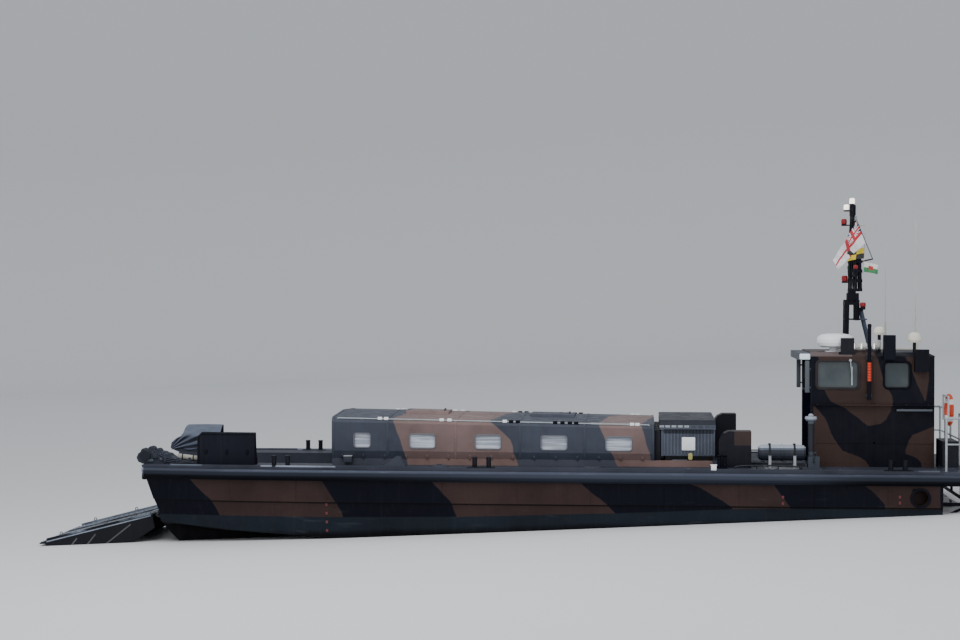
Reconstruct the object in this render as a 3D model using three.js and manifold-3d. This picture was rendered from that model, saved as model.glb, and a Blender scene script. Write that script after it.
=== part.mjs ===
// A landing craft for troops and light vehicles, 15.7 m over the hull and 4.3 m in beam.
// Millimetres. +X runs aft, +Y to starboard and +Z up. The origin lies on the centreline, 8.1 m
// abaft the deck's forward edge, on the flat underside of the centre keel.
import * as THREE from 'three';
import Module from 'manifold-3d';
import { mergeVertices } from 'three/addons/utils/BufferGeometryUtils.js';

const wasm = await Module();
wasm.setup();

// Driving dimensions
const bowX = -8070; // the deck's forward edge
const sternX = 7630; // the after edge of the stern platform
const transomX = 7000;
const deckZ = 1700;
const knuckleZ = 1040; // the lapped seam along the topsides
const knuckleStep = 35;
const keelFlatZ = 200; // the hull's flat centre strip, on top of the keel
const keelFlatHalf = 160;
const sill = { x: -7780, z: 800 }; // where the bow opening's floor meets the raked bow
const forefoot = { x: -7745, z: 445 }; // from here the bow is cut back at 45 degrees
const well = { from: -8800, to: 1750, half: 1150, z: 770 };
const floorThickness = 30;
const engineRoom = { from: 3100, to: 4500, half: 900, z: 480 };
const ramp = { length: 2420, half: 1200, drop: 14.4, x: -7920, z: 670 };
const canopy = { front: -4450, aft: 1720, baseZ: 1820, shoulderZ: 2610, drop: 110 };
const coaming = { inner: 1290, outer: 1340, aft: 2890 };
const house = { front: 4680, back: 6980, half: 1050, top: 3790, wall: 50 };
const roofTopZ = 3870;
const mastHinge = { x: 5560, z: 4900 };
const jet = { y: 650, z: 780, pivotX: 7260 };
const gap = 0.3; // between pieces that meet
const standZ = deckZ + gap; // the foot of whatever stands on the deck
const deg = Math.PI / 180;
const sides = { port: -1, starboard: 1 };

// Finishes
const finish = (color, roughness, metalness) =>
  new THREE.MeshStandardMaterial({ color, roughness, metalness });
const paint = {
  brown: finish(0x5a4a44, 0.7, 0.1),
  black: finish(0x24262e, 0.65, 0.1),
  grey: finish(0x4c525c, 0.6, 0.15),
  bottom: finish(0x15161b, 0.8, 0.05),
  fender: finish(0x3a3d45, 0.75, 0.0),
  white: finish(0xe6e6e6, 0.4, 0.0),
  bare: finish(0x8d9197, 0.45, 0.7),
  glass: finish(0xb6c0c6, 0.1, 0.0),
  orange: finish(0xc8481f, 0.6, 0.0),
  cloth: finish(0xdcdcdc, 0.9, 0.0),
  seat: finish(0x2c3026, 0.85, 0.0),
};

// Solids from three.js geometry
function solidOf(geometry) {
  for (const name of ['normal', 'uv']) geometry.deleteAttribute(name);
  const merged = mergeVertices(geometry, 1e-3);
  return new wasm.Manifold(new wasm.Mesh({
    numProp: 3,
    vertProperties: new Float32Array(merged.attributes.position.array),
    triVerts: new Uint32Array(merged.index.array),
  }));
}

function geometryOf(solid) {
  const made = solid.getMesh();
  const geometry = new THREE.BufferGeometry();
  const points = new Float32Array(made.vertProperties);
  geometry.setAttribute('position', new THREE.BufferAttribute(points, 3));
  geometry.setIndex(new THREE.BufferAttribute(new Uint32Array(made.triVerts), 1));
  geometry.computeVertexNormals();
  return geometry;
}

const join = (...solids) => solids.flat().reduce((whole, one) => whole.add(one));
const cut = (body, ...tools) => tools.flat().reduce((left, tool) => left.subtract(tool), body);

function block(x0, x1, y0, y1, z0, z1) {
  const box = new THREE.BoxGeometry(x1 - x0, y1 - y0, z1 - z0);
  return solidOf(box.translate((x0 + x1) / 2, (y0 + y1) / 2, (z0 + z1) / 2));
}

function extruded(points, depth) {
  const shape = new THREE.Shape(points.map(([a, b]) => new THREE.Vector2(a, b)));
  return new THREE.ExtrudeGeometry(shape, { depth, bevelEnabled: false });
}

// An outline of [x, z] points, carried across from y0 to y1.
function acrossY(points, y0, y1) {
  return solidOf(extruded(points, y1 - y0).rotateX(Math.PI / 2).translate(0, y1, 0));
}

// An outline of [y, z] points, carried along from x0 to x1.
function alongX(points, x0, x1) {
  const turn = new THREE.Matrix4().set(0, 0, 1, x0, 1, 0, 0, 0, 0, 1, 0, 0, 0, 0, 0, 1);
  return solidOf(extruded(points, x1 - x0).applyMatrix4(turn));
}

// An outline of [x, y] points, carried up from z0 to z1.
function upZ(points, z0, z1) {
  return solidOf(extruded(points, z1 - z0).translate(0, 0, z0));
}

// A round bar between two points.
function rod(from, to, radius, sidesCount = 8, endRadius = radius) {
  const a = new THREE.Vector3(...from);
  const b = new THREE.Vector3(...to);
  const length = a.distanceTo(b);
  const bar = new THREE.CylinderGeometry(endRadius, radius, length, sidesCount);
  const turn = new THREE.Quaternion().setFromUnitVectors(
    new THREE.Vector3(0, 1, 0), b.clone().sub(a).normalize());
  const middle = a.clone().add(b).multiplyScalar(0.5);
  return solidOf(bar.applyQuaternion(turn).translate(middle.x, middle.y, middle.z));
}

// Bars through a list of points, with a ball at each bend.
function bars(points, radius, sidesCount = 8) {
  const made = [];
  for (let i = 1; i < points.length; i++) {
    made.push(rod(points[i - 1], points[i], radius, sidesCount));
    if (i > 1) {
      const ball = new THREE.SphereGeometry(radius, sidesCount, sidesCount / 2);
      made.push(solidOf(ball.translate(...points[i - 1])));
    }
  }
  return join(made);
}

// A turned shape: [radius, height] points, standing on z = 0 of its own frame.
function turned(profile, segments = 20) {
  const points = profile.map(([r, h]) => new THREE.Vector2(r, h));
  return solidOf(new THREE.LatheGeometry(points, segments).rotateX(Math.PI / 2));
}

function roundedRectangle(a0, a1, b0, b1, radius, steps = 3) {
  const corners = [[a1, b0, -90, -1, 1], [a1, b1, 0, -1, -1], [a0, b1, 90, 1, -1], [a0, b0, 180, 1, 1]];
  return corners.flatMap(([a, b, start, da, db]) =>
    Array.from({ length: steps + 1 }, (_, i) => {
      const angle = (start + (90 * i) / steps) * deg;
      return [a + da * radius + radius * Math.cos(angle), b + db * radius + radius * Math.sin(angle)];
    }));
}

// A body through rings of [y, z] points, one ring at each x.
function loft(stations) {
  const count = stations[0].ring.length;
  const rings = stations.map(({ ring }) => {
    const clockwise = THREE.ShapeUtils.isClockWise(ring.map(([y, z]) => new THREE.Vector2(y, z)));
    return clockwise ? ring.toReversed() : ring;
  });
  const points = rings.flatMap((ring, s) => ring.flatMap(([y, z]) => [stations[s].x, y, z]));
  const faces = [];
  for (let s = 0; s + 1 < rings.length; s++) {
    for (let i = 0; i < count; i++) {
      const a = s * count + i;
      const b = s * count + ((i + 1) % count);
      faces.push(a, b, a + count, b, b + count, a + count);
    }
  }
  const cap = (ring) => THREE.ShapeUtils.triangulateShape(ring.map(([y, z]) => new THREE.Vector2(y, z)), []);
  const last = (rings.length - 1) * count;
  for (const [a, b, c] of cap(rings[0])) faces.push(a, c, b);
  for (const [a, b, c] of cap(rings.at(-1))) faces.push(a + last, b + last, c + last);
  const geometry = new THREE.BufferGeometry();
  geometry.setAttribute('position', new THREE.Float32BufferAttribute(points, 3));
  geometry.setIndex(faces);
  return solidOf(geometry);
}

// The craft, with every piece hung on it by name
const craft = new THREE.Group();
craft.name = 'landing_craft';

function place(name, solid, material, { x = 0, y = 0, z = 0, turnY = 0 } = {}) {
  const mesh = new THREE.Mesh(geometryOf(solid), material);
  mesh.name = name;
  mesh.position.set(x, y, z);
  mesh.rotation.y = turnY;
  craft.add(mesh);
}

// Hull

// Half breadths of the chine, the knuckle and the deck edge, and the chine's height.
const hullTable = [
  { x: -8500, chineY: 1390, chineZ: 700, knuckleY: 1600, deckY: 1730 },
  { x: -7500, chineY: 1560, chineZ: 570, knuckleY: 1750, deckY: 1860 },
  { x: -6300, chineY: 1720, chineZ: 460, knuckleY: 1900, deckY: 1980 },
  { x: -4600, chineY: 1850, chineZ: 360, knuckleY: 1990, deckY: 2040 },
  { x: -1500, chineY: 1900, chineZ: 330, knuckleY: 2020, deckY: 2050 },
  { x: transomX, chineY: 1900, chineZ: 330, knuckleY: 2020, deckY: 2050 },
];

function hullRing({ chineY, chineZ, knuckleY, deckY }) {
  const half = [
    [keelFlatHalf, keelFlatZ],
    [chineY, chineZ],
    [knuckleY - knuckleStep, knuckleZ],
    [knuckleY, knuckleZ + 2],
    [deckY, deckZ],
  ];
  return [...half, ...half.map(([y, z]) => [-y, z]).reverse()];
}

// Everything ahead of the raked bow, moved by shift along x.
function aheadOfBow(shift = 0) {
  const rake = (bowX - sill.x) / (deckZ - sill.z);
  const top = 3200;
  const low = -200;
  return acrossY([
    [-12000, low],
    [forefoot.x + forefoot.z - low + shift, low],
    [forefoot.x + shift, forefoot.z],
    [sill.x + shift, sill.z],
    [bowX + rake * (top - deckZ) + shift, top],
    [-12000, top],
  ], -3000, 3000);
}

const hullBody = loft(hullTable.map((row) => ({ x: row.x, ring: hullRing(row) })));

function makeHull() {
  const exhaust = { x: 6590, z: 1220, radius: 145 };
  const pipe = rod([exhaust.x, -2200, exhaust.z], [exhaust.x, 2200, exhaust.z], exhaust.radius, 16);
  const pipeCore = block(6400, 6900, -1800, 1800, 1000, 1450);
  return cut(
    hullBody,
    aheadOfBow(),
    block(well.from, well.to, -well.half, well.half, well.z, 2000),
    block(engineRoom.from, engineRoom.to, -engineRoom.half, engineRoom.half, engineRoom.z, 2000),
    cut(pipe, pipeCore),
  );
}

function bilgeKeel(side) {
  const keel = { to: 6200, y: 1150, width: 120 };
  const from = forefoot.x + forefoot.z;
  const outline = [[from, 0], [keel.to, 0], [keel.to + 150, 400], [forefoot.x, 600], [forefoot.x, forefoot.z]];
  const inner = side * keel.y - keel.width / 2;
  return cut(acrossY(outline, inner, inner + keel.width), hullBody.translate([0, 0, -gap]));
}

function centreKeel() {
  const half = 90;
  const from = forefoot.x + forefoot.z + 10;
  const top = keelFlatZ - gap;
  return acrossY([[from, 0], [6300, 0], [6500, top], [from - top, top]], -half, half);
}

// The D-shaped fender under the deck edge.
function rubRail(side) {
  const rail = { z: 1550, half: 100, stand: 100, bite: 40, aft: 7400 };
  const section = (b) => [
    [b - rail.bite, rail.z - rail.half],
    [b + rail.stand * 0.5, rail.z - rail.half],
    [b + rail.stand * 0.95, rail.z - rail.half * 0.6],
    [b + rail.stand, rail.z],
    [b + rail.stand * 0.95, rail.z + rail.half * 0.6],
    [b + rail.stand * 0.5, rail.z + rail.half],
    [b - rail.bite, rail.z + rail.half],
  ];
  const rows = [...hullTable, { ...hullTable.at(-1), x: rail.aft }];
  const rings = rows.map((row) => {
    const share = (rail.z - knuckleZ) / (deckZ - knuckleZ);
    const b = row.knuckleY + (row.deckY - row.knuckleY) * share;
    return { x: row.x, ring: section(b).map(([y, z]) => [side * y, z]) };
  });
  return cut(loft(rings), aheadOfBow(-15), hullBody.translate([0, side * gap, 0]),
    sternPlatform().translate([0, side * gap, 0]), sternPlatform());
}

function sternPlatform() {
  const half = 2045;
  const corner = 180;
  const deck = upZ(roundedRectangle(transomX - 400, sternX - 60, -half, half, corner), 1560, deckZ);
  const fender = upZ(roundedRectangle(transomX + 390, sternX, -half + 60, half - 60, 120), 1480, 1650);
  return cut(join(deck, fender), block(transomX - 600, transomX + gap, -3000, 3000, 1000, 2000));
}

// The locker stands on the platform's port side.
function sternPlatformWithLocker() {
  return join(sternPlatform(), block(7065, 7360, -1500, -700, deckZ - 10, 2230));
}

function jetGuard() {
  const y = 1700;
  const aft = 7560;
  const z = 1080;
  const hoop = bars([[transomX + gap, -y, z], [aft, -y, z], [aft, y, z], [transomX + gap, y, z]], 32);
  const posts = [-y, -560, 560, y].map((at) => rod([aft, at, z], [aft, at, 1480 - gap], 26));
  const stays = [-y, y].map((at) => rod([transomX, at, z - 260], [aft, at, z], 24));
  return cut(join(hoop, posts, stays), block(6000, transomX + gap, -3000, 3000, 0, 3000));
}

// The low rail along the deck edge, with pairs of mooring posts and a wedge-shaped fairlead.
function toeRail(side) {
  const rail = { inner: 75, outer: 35, height: 25 };
  const bitts = { spread: 132, radius: 45, height: 190, y: 1850 };
  const places = [{ x: -5350, edge: 1950 }, { x: -1520, edge: 1990 }, { x: 6200, edge: 1990 }];
  const rows = hullTable.slice(1).map((row) => {
    const inner = side * (row.deckY - rail.inner);
    const outer = side * (row.deckY - rail.outer);
    const high = standZ + rail.height;
    return { x: row.x, ring: [[inner, standZ], [outer, standZ], [outer, high], [inner, high]] };
  });
  rows.at(-1).x = transomX - 60;
  const posts = places.flatMap(({ x, edge }) => {
    const y = side * bitts.y;
    const across = [side * (bitts.y - 90), side * edge].sort((m, n) => m - n);
    const plate = block(x - 240, x + 240, ...across, standZ, standZ + 16);
    const top = standZ + bitts.height;
    const pair = [x - bitts.spread, x + bitts.spread].map((at) => join(
      rod([at, y, standZ + 2], [at, y, top], bitts.radius, 12),
      rod([at, y, top - 5], [at, y, top + 15], bitts.radius + 5, 12),
    ));
    return [plate, ...pair];
  });
  const wedge = [side * 1800, side * 1990].sort((m, n) => m - n);
  const fairlead = acrossY([[-3420, standZ], [-2950, standZ], [-2960, 1760], [-3060, 1910], [-3140, 1910]], ...wedge);
  return join(loft(rows), posts, fairlead);
}

// Troop well

function wellFloor() {
  const forward = sill.x + 40;
  const top = well.z + floorThickness;
  const plate = block(forward, well.to - 10, -well.half + 5, well.half - 5, well.z, top);
  const tracks = [-1, 1].map((side) =>
    block(forward + 20, well.to - 60, side * 650 - 230, side * 650 + 230, top - 5, top + 12));
  return join(plate, tracks);
}

function bench(side) {
  const seat = { from: -4300, to: 1600, depth: 380, z: 1210, board: 40 };
  const wallY = side * (well.half - gap);
  const frontY = side * (well.half - seat.depth);
  const across = [Math.min(wallY, frontY), Math.max(wallY, frontY)];
  const board = block(seat.from, seat.to, ...across, seat.z - seat.board, seat.z);
  const brackets = Array.from({ length: 6 }, (_, i) => {
    const x = seat.from + 100 + (i * (seat.to - seat.from - 240)) / 5;
    const outline = [[wallY, seat.z - 10], [frontY, seat.z - 10], [frontY, seat.z - 70], [wallY, seat.z - 330]];
    return alongX(outline, x, x + 40);
  });
  return join(board, brackets);
}

// Bow ramp and what works it

const hingeRadius = 25;
const lugPlaces = [-1040, -360, 360, 1040];

// Lugs on the bow with the long hinge pin through them.
function rampHinge() {
  const lugs = lugPlaces.map((y) => acrossY([
    [ramp.x - 55, ramp.z - 20], [ramp.x - 20, ramp.z - 55], [ramp.x + 30, ramp.z - 60],
    [ramp.x + 300, ramp.z - 200], [ramp.x + 300, ramp.z + 80], [ramp.x + 20, ramp.z + 45],
    [ramp.x - 40, ramp.z + 25],
  ], y - 30, y + 30));
  const pin = rod([ramp.x, -1190, ramp.z], [ramp.x, 1190, ramp.z], hingeRadius, 16);
  const hull = cut(hullBody, aheadOfBow());
  return cut(join(lugs, pin), hull.translate([-gap, 0, 0]));
}

// The ramp lies along -x from its hinge, before it is let down by its drop angle.
function rampLeaf() {
  const { length, half } = ramp;
  const top = 35;
  const plate = acrossY([
    [-95, top], [-95, -25], [-length + 160, -25], [-length, 8], [-length, 20], [-length + 40, top],
  ], -half, half);
  const girder = (y) => acrossY([
    [-95, -20], [-110, -230], [-300, -300], [-520, -375], [-800, -435], [-1200, -345], [-1600, -240],
    [-2000, -138], [-length + 130, -64], [-length + 130, -20],
  ], y - 25, y + 25);
  const crossBeams = [-620, -1180, -1740].map((x, i) =>
    block(x - 25, x + 25, -half + 40, half - 40, -260 + i * 60, -20));
  const treads = [-1, 1].map((side) =>
    block(-length + 120, -140, side * 650 - 300, side * 650 + 300, top - 5, top + 14));
  const curbs = [-1, 1].map((side) =>
    block(-length + 160, -120, side * (half - 30) - 30, side * (half - 30) + 30, top - 5, top + 45));
  const barrelSpans = [[-1000, -400], [-320, 320], [400, 1000]];
  const barrels = barrelSpans.map(([y0, y1]) => join(
    rod([0, y0, 0], [0, y1, 0], 50, 16),
    block(-110, -20, y0, y1, -25, top),
  ));
  const bore = rod([0, -1300, 0], [0, 1300, 0], hingeRadius + 1, 16);
  return cut(join(plate, [-half + 25, -400, 400, half - 25].map(girder), crossBeams, treads, curbs, barrels), bore);
}

const lowCover = { front: -7450, frontZ: 1785, aft: -7010, aftZ: 1755 };

// The housing over each wire sheave, and the low cover behind it.
function rampGear(side) {
  const outline = [
    [-8100, standZ], [-7000, standZ], [lowCover.aft, lowCover.aftZ], [lowCover.front, lowCover.frontZ],
    [-7540, 1850], [-7680, 1915], [-7800, 1945], [-7960, 1990], [-8080, 1975], [-8190, 1900],
    [-8225, 1820], [-8190, 1740],
  ];
  const across = [side * 1230, side * 1560].sort((m, n) => m - n);
  return acrossY(outline, ...across);
}

// The screens on the side decks forward. Their brackets stand inboard to port and outboard to
// starboard, clear of the ramp gear.
const screenTable = {
  port: { from: -6990, to: -5900, rake: 60, top: 2290, y: -1560, foot: -1280 },
  starboard: { from: -8020, to: -7225, rake: 70, top: 2225, y: 1625, foot: 1705 },
};

function bowScreen({ from, to, rake, top, y, foot }) {
  const away = Math.sign(foot - y);
  const across = [y, y - away * 60].sort((m, n) => m - n);
  const plate = acrossY([[from, standZ], [to, standZ], [to, top], [from + rake, top], [from, top - rake]], ...across);
  const brackets = [from + 160, (from + to) / 2, to - 50].map((x) => {
    const high = Math.min(top - 50, top - rake + (x - from) - 40);
    const face = y - away * 10;
    return alongX([[face, standZ], [foot, standZ], [foot - away * 20, 1760], [face, high]], x, x + 40);
  });
  return join(plate, brackets);
}

// The canvas over the starboard screen: it hangs a little way down outboard, slopes inboard past
// the top of the ramp gear, and falls beside it. Its nose lies over the gear's forward end.
function screenCover() {
  const { from, to, top } = screenTable.starboard;
  const thick = 12;
  const [inner, outer, eaves, hem] = [1210, 1652, 2015, 1745];
  const ridge = top + gap + thick;
  const front = from - gap - thick;
  const tent = alongX([
    [outer, 2110], [outer, ridge], [1555, ridge], [inner, eaves + 8], [inner, hem], [inner + thick, hem],
    [inner + thick, eaves], [1558, ridge - thick], [outer - thick, ridge - thick], [outer - thick, 2110],
  ], front, to - 5);
  const gable = alongX([
    [outer, 2110], [outer, ridge], [1555, ridge], [inner, eaves + 8], [inner, eaves - 10], [outer, eaves - 10],
  ], front, front + thick);
  const noseTop = [[-8256, 1790], [-8232, 1910], [-8105, 2002], [front + 5, eaves]];
  const noseUnder = [[front + 5, eaves - thick], [-8101, 1990], [-8222, 1902], [-8244, 1790]];
  const nose = acrossY([...noseTop, ...noseUnder], inner, 1600);
  const cheek = acrossY([...noseTop, [front + 5, hem], [-8225, hem]], inner, inner + thick);
  return join(tent, gable, nose, cheek);
}

// A rolled mat lying on the low cover behind the port gear.
const mat = { length: 410, radius: 55, y: -1445 };

function rolledMat() {
  const turns = Array.from({ length: 12 }, (_, i) => i * 30 * deg);
  const ring = turns.map((a) => [mat.radius * Math.sin(a), mat.radius * (1 - Math.cos(a))]);
  return alongX(ring, -mat.length / 2, mat.length / 2);
}

// Canopy: one long shell, drooping aft, cut into sections where the real panels meet

const canopyOuter = [
  [1335, canopy.baseZ], [1385, 1970], [1385, canopy.shoulderZ - 90], [1370, canopy.shoulderZ - 45],
  [1330, canopy.shoulderZ - 10], [1270, canopy.shoulderZ + 5], [0, canopy.shoulderZ + 55],
];
const canopyInner = [
  [1295, canopy.baseZ], [1345, 1975], [1345, canopy.shoulderZ - 95], [1330, canopy.shoulderZ - 65],
  [1255, canopy.shoulderZ - 36], [0, canopy.shoulderZ + 14],
];

// Each point sinks in proportion to how far aft and how high it is.
function drooped(solid) {
  const slope = canopy.drop / (canopy.aft - canopy.front);
  const rise = canopy.shoulderZ - canopy.baseZ;
  return solid.warp((point) => {
    const share = Math.max(0, point[2] - canopy.baseZ) / rise;
    point[2] -= slope * (point[0] - canopy.front) * share;
  });
}

const mirrored = (half) => [...half, ...half.slice(0, -1).map(([y, z]) => [-y, z]).reverse()];

// Where each section starts and ends, and its window's centre and width.
const canopyTable = [
  { from: -4450, to: -3372, windowX: -3860, windowWidth: 300 },
  { from: -3369, to: -2062, windowX: -2700, windowWidth: 480 },
  { from: -2059, to: -832, windowX: -1440, windowWidth: 480 },
  { from: -829, to: 398, windowX: -180, windowWidth: 480 },
  { from: 401, to: 1720, windowX: 1050, windowWidth: 480 },
];
const canopyWindow = { low: 2045, high: 2300 };
const hatchTable = [
  { name: 'canopy_hatch_forward', from: -3150, to: -2300 },
  { name: 'canopy_hatch_aft', from: -680, to: 170 },
];
const hatchHalf = 380;

const droopAt = (x) => (canopy.drop * (x - canopy.front)) / (canopy.aft - canopy.front);

function canopySection(row) {
  const outline = [...mirrored(canopyOuter), ...mirrored(canopyInner).reverse()];
  const shell = drooped(alongX(outline, row.from, row.to));
  const sink = droopAt(row.windowX) * 0.4;
  const window = roundedRectangle(row.windowX - row.windowWidth / 2, row.windowX + row.windowWidth / 2,
    canopyWindow.low - sink, canopyWindow.high - sink, 45);
  const hatches = hatchTable.map(({ from, to }) =>
    block(from + 50, to - 50, -hatchHalf + 50, hatchHalf - 50, 2300, 3000));
  return cut(shell, acrossY(window, -1600, 1600), hatches);
}

// A hatch follows the roof's camber: its seat is the roof's own outline, raised by the gap.
function canopyHatch({ from, to }) {
  const low = canopyOuter.slice(-2).map(([y, z]) => [y, z + 3 * gap]);
  const slope = (low[1][1] - low[0][1]) / low[0][0];
  const edge = low[1][1] - slope * hatchHalf;
  const high = low[1][1] + 45;
  const outline = [[hatchHalf, edge], [hatchHalf - 20, high - 8], [0, high]];
  const under = [[hatchHalf, edge], [0, low[1][1]]];
  return drooped(alongX([...mirrored(outline), ...mirrored(under).slice(1, -1).reverse()], from, to));
}

// The deck coamings, with the frame of the open front and the bulkhead at the after end.
function canopyFrame() {
  const side = { half: coaming.inner + 10, foot: canopy.baseZ - 1 };
  const under = canopyInner.map(([y, z]) => [Math.max(y - 2, 0), z - 3]);
  const outline = mirrored([[side.half, standZ], [side.half, side.foot], ...under]);
  const ring = (x) => drooped(alongX(outline, x, x + 40));
  const front = cut(ring(canopy.front + 8), block(-6000, 0, -well.half, well.half, 1000, 2470));
  const coamings = [-1, 1].map((way) => {
    const across = [way * coaming.inner, way * coaming.outer].sort((m, n) => m - n);
    return block(canopy.front, coaming.aft, ...across, standZ, canopy.baseZ - gap);
  });
  return join(front, ring(canopy.aft - 60), coamings);
}

// A clear strip behind each side's windows.
function canopyGlazing(side) {
  const face = side * (1345 - gap);
  const back = side * (1345 - 10);
  return block(canopy.front + 200, canopy.aft - 90, Math.min(face, back), Math.max(face, back), 1980, 2335);
}

// After deck

// The ribbed air intake across the craft, on a set-back plinth.
function airIntake() {
  const body = { from: 1850, to: 2865, half: 1240, low: 1900, high: 2410 };
  const plinth = block(1930, 2830, -1180, 1180, standZ, body.low + 10);
  const trunk = block(body.from, body.to, -body.half, body.half, body.low, body.high);
  const edge = body.high + 70;
  const top = body.high + 170;
  const lid = alongX([[-1270, body.high - 10], [1270, body.high - 10], [1270, edge], [1180, top],
    [-1180, top], [-1270, edge]], body.from - 30, body.to + 10);
  const ribCount = 15;
  const pitch = (body.to - body.from - 60) / ribCount;
  const ribs = Array.from({ length: ribCount }, (_, i) => {
    const x = body.from + 30 + (i + 0.5) * pitch;
    return block(x - 14, x + 14, -body.half - 22, body.half + 22, body.low + 20, body.high - 5);
  });
  return join(plinth, trunk, lid, ribs);
}

// The hoods over the engine room's vents: where each starts and ends, and its height.
const ventTable = {
  port: { from: 2930, to: 3540, top: 2385 },
  starboard: { from: 2905, to: 3370, top: 2560 },
};

function engineVent(name) {
  const { from, to, top } = ventTable[name];
  const y0 = sides[name] * 1200 - 200;
  const outline = [[from, standZ], [to, standZ], [to, top], [from + 190, top], [from + 95, top - 45],
    [from + 30, top - 120], [from, top - 220]];
  const hood = acrossY(outline, y0, y0 + 400);
  const mouth = block(to - 60, to + 60, y0 + 50, y0 + 350, 1900, top - 90);
  return cut(hood, mouth);
}

function engines() {
  const bed = block(3150, 4450, -850, 850, engineRoom.z, 540);
  const blocks = [-1, 1].flatMap((side) => [
    block(3220, 4330, side * 480 - 290, side * 480 + 290, 530, 1180),
    block(3300, 4200, side * 480 - 200, side * 480 + 200, 1170, 1470),
  ]);
  return join(bed, blocks);
}

function engineHatch() {
  const lid = block(3060, 4560, -950, 950, standZ, deckZ + 60);
  const ribs = [3400, 3800, 4200].map((x) => block(x - 30, x + 30, -800, 800, deckZ + 50, deckZ + 75));
  const arms = [-1, 1].map((side) => block(3020, 3070, side * 700 - 60, side * 700 + 60, standZ, deckZ + 60));
  return join(lid, ribs, arms);
}

const raft = { x: 4100, y: -1500, z: 2000, length: 880, radius: 150 };

function raftCanister() {
  const h = raft.length / 2;
  const r = raft.radius;
  const profile = [
    [0, -h], [r * 0.72, -h], [r * 0.93, -h + 35], [r, -h + 90], [r, -20], [r + 10, -18],
    [r + 10, 18], [r, 20], [r, h - 90], [r * 0.93, h - 35], [r * 0.72, h], [0, h],
  ];
  return turned(profile, 20).rotate([0, 90, 0]).translate([raft.x, raft.y, raft.z]);
}

function raftCradle() {
  const saddles = [-230, 230].map((dx) => alongX([
    [raft.y - 170, deckZ + 20], [raft.y + 170, deckZ + 20], [raft.y + 150, raft.z - 40], [raft.y - 150, raft.z - 40],
  ], raft.x + dx - 25, raft.x + dx + 25));
  const runners = [-130, 130].map((dy) =>
    block(raft.x - 330, raft.x + 330, raft.y + dy - 25, raft.y + dy + 25, standZ, deckZ + 30));
  return cut(join(saddles, runners), raftCanister().translate([0, 0, -gap]));
}

// The small hand winch with its upright, beside the wheelhouse.
function winchPost() {
  const x = 4640;
  const y = -1480;
  return join(
    block(x - 170, x + 200, y - 150, y + 150, standZ, deckZ + 25),
    rod([x, y, deckZ + 10], [x, y, 2630], 55, 12),
    rod([x, y, 2600], [x, y, 2655], 95, 12),
    rod([x + 40, y - 130, deckZ + 130], [x + 40, y + 130, deckZ + 130], 95, 14),
    block(x - 60, x + 150, y - 145, y - 115, deckZ + 10, deckZ + 240),
    block(x - 60, x + 150, y + 115, y + 145, deckZ + 10, deckZ + 240),
  );
}

// Wheelhouse

const houseWindows = [
  { from: 4790, to: 5570, low: 3190, high: 3700 },
  { from: 6050, to: 6520, low: 3200, high: 3680 },
];

// The port wall also carries two tall lockers, hung outside it.
const lockerTable = [
  { from: 6020, to: 6240, low: 3740, high: 4200 },
  { from: 6600, to: 6860, low: 3510, high: 3930 },
];

function houseSide(side) {
  const outer = side * house.half;
  const inner = side * (house.half - house.wall);
  const wall = block(house.front, house.back, Math.min(outer, inner), Math.max(outer, inner), standZ, house.top);
  const holes = houseWindows.map(({ from, to, low, high }) =>
    acrossY(roundedRectangle(from, to, low, high, 70), -1300, 1300));
  const railY = side * (house.half + 70);
  const railZ = 2870;
  const rail = rod([4700, railY, railZ], [6960, railY, railZ], 16, 8);
  const stands = [4760, 5450, 6150, 6900].map((x) =>
    rod([x, outer - side * 5, railZ], [x, railY - side * 5, railZ], 12, 8));
  const lockers = (side > 0 ? [] : lockerTable).flatMap(({ from, to, low, high }) => [
    block(from, to, -house.half - 150, -house.half, low, high),
    block(from + 10, to - 10, -house.half - 10, -house.half + 5, low + 5, house.top - 5),
  ]);
  return join(cut(wall, holes), rail, stands, lockers);
}

function houseFront() {
  const half = house.half - house.wall - gap;
  const wall = block(house.front, house.front + house.wall, -half, half, standZ, house.top);
  const panes = [-1, 1].map((side) => {
    const y = side * 490;
    return alongX(roundedRectangle(y - 430, y + 430, 3120, 3700, 70), house.front - 50, house.front + 200);
  });
  return cut(wall, panes);
}

// The door slides across the outside of the after wall, standing on the lower of its two rails.
const door = { low: deckZ + 60, high: 3560, half: 340, clear: 6, thickness: 40 };

function houseBack() {
  const half = house.half - house.wall - gap;
  const wall = block(house.back - house.wall, house.back, -half, half, standZ, house.top);
  const opening = block(6500, 7500, -door.half, door.half, door.low, door.high);
  const rails = [door.low - 45, door.high + 25].map((z) =>
    block(house.back - 5, house.back + 62, -door.half - 30, half - 20, z, z + 20));
  return join(cut(wall, opening), rails);
}

function houseDoor() {
  const near = house.back + door.clear;
  const panel = block(near, near + door.thickness, -door.half - 20, door.half + 20,
    door.low - 25 + gap, door.high + 19);
  const window = alongX(roundedRectangle(-200, 200, 2850, 3380, 60), 6800, 7100);
  const grip = bars([[near + 30, -270, 2550], [near + 80, -270, 2550], [near + 80, -270, 2750],
    [near + 30, -270, 2750]], 12);
  return join(cut(panel, window), grip);
}

// The panes stand in one strip inside the side and front walls.
function houseGlazing() {
  const inner = house.half - house.wall;
  const low = 3100;
  const high = 3760;
  const outside = block(house.front + house.wall + gap, 6750, -inner + gap, inner - gap, low, high);
  return cut(outside, block(house.front + house.wall + 10, 6900, -inner + 10, inner - 10, low - 10, high + 10));
}

// The roof: its visor ahead of the front windows, a bar of lamps and an instrument box along
// its port edge, and two aerial domes on stalks.
const domeTable = [
  { x: 5980, foot: 4205, radius: 112, height: 150 },
  { x: 6640, foot: 4060, radius: 130, height: 190 },
];

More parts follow.
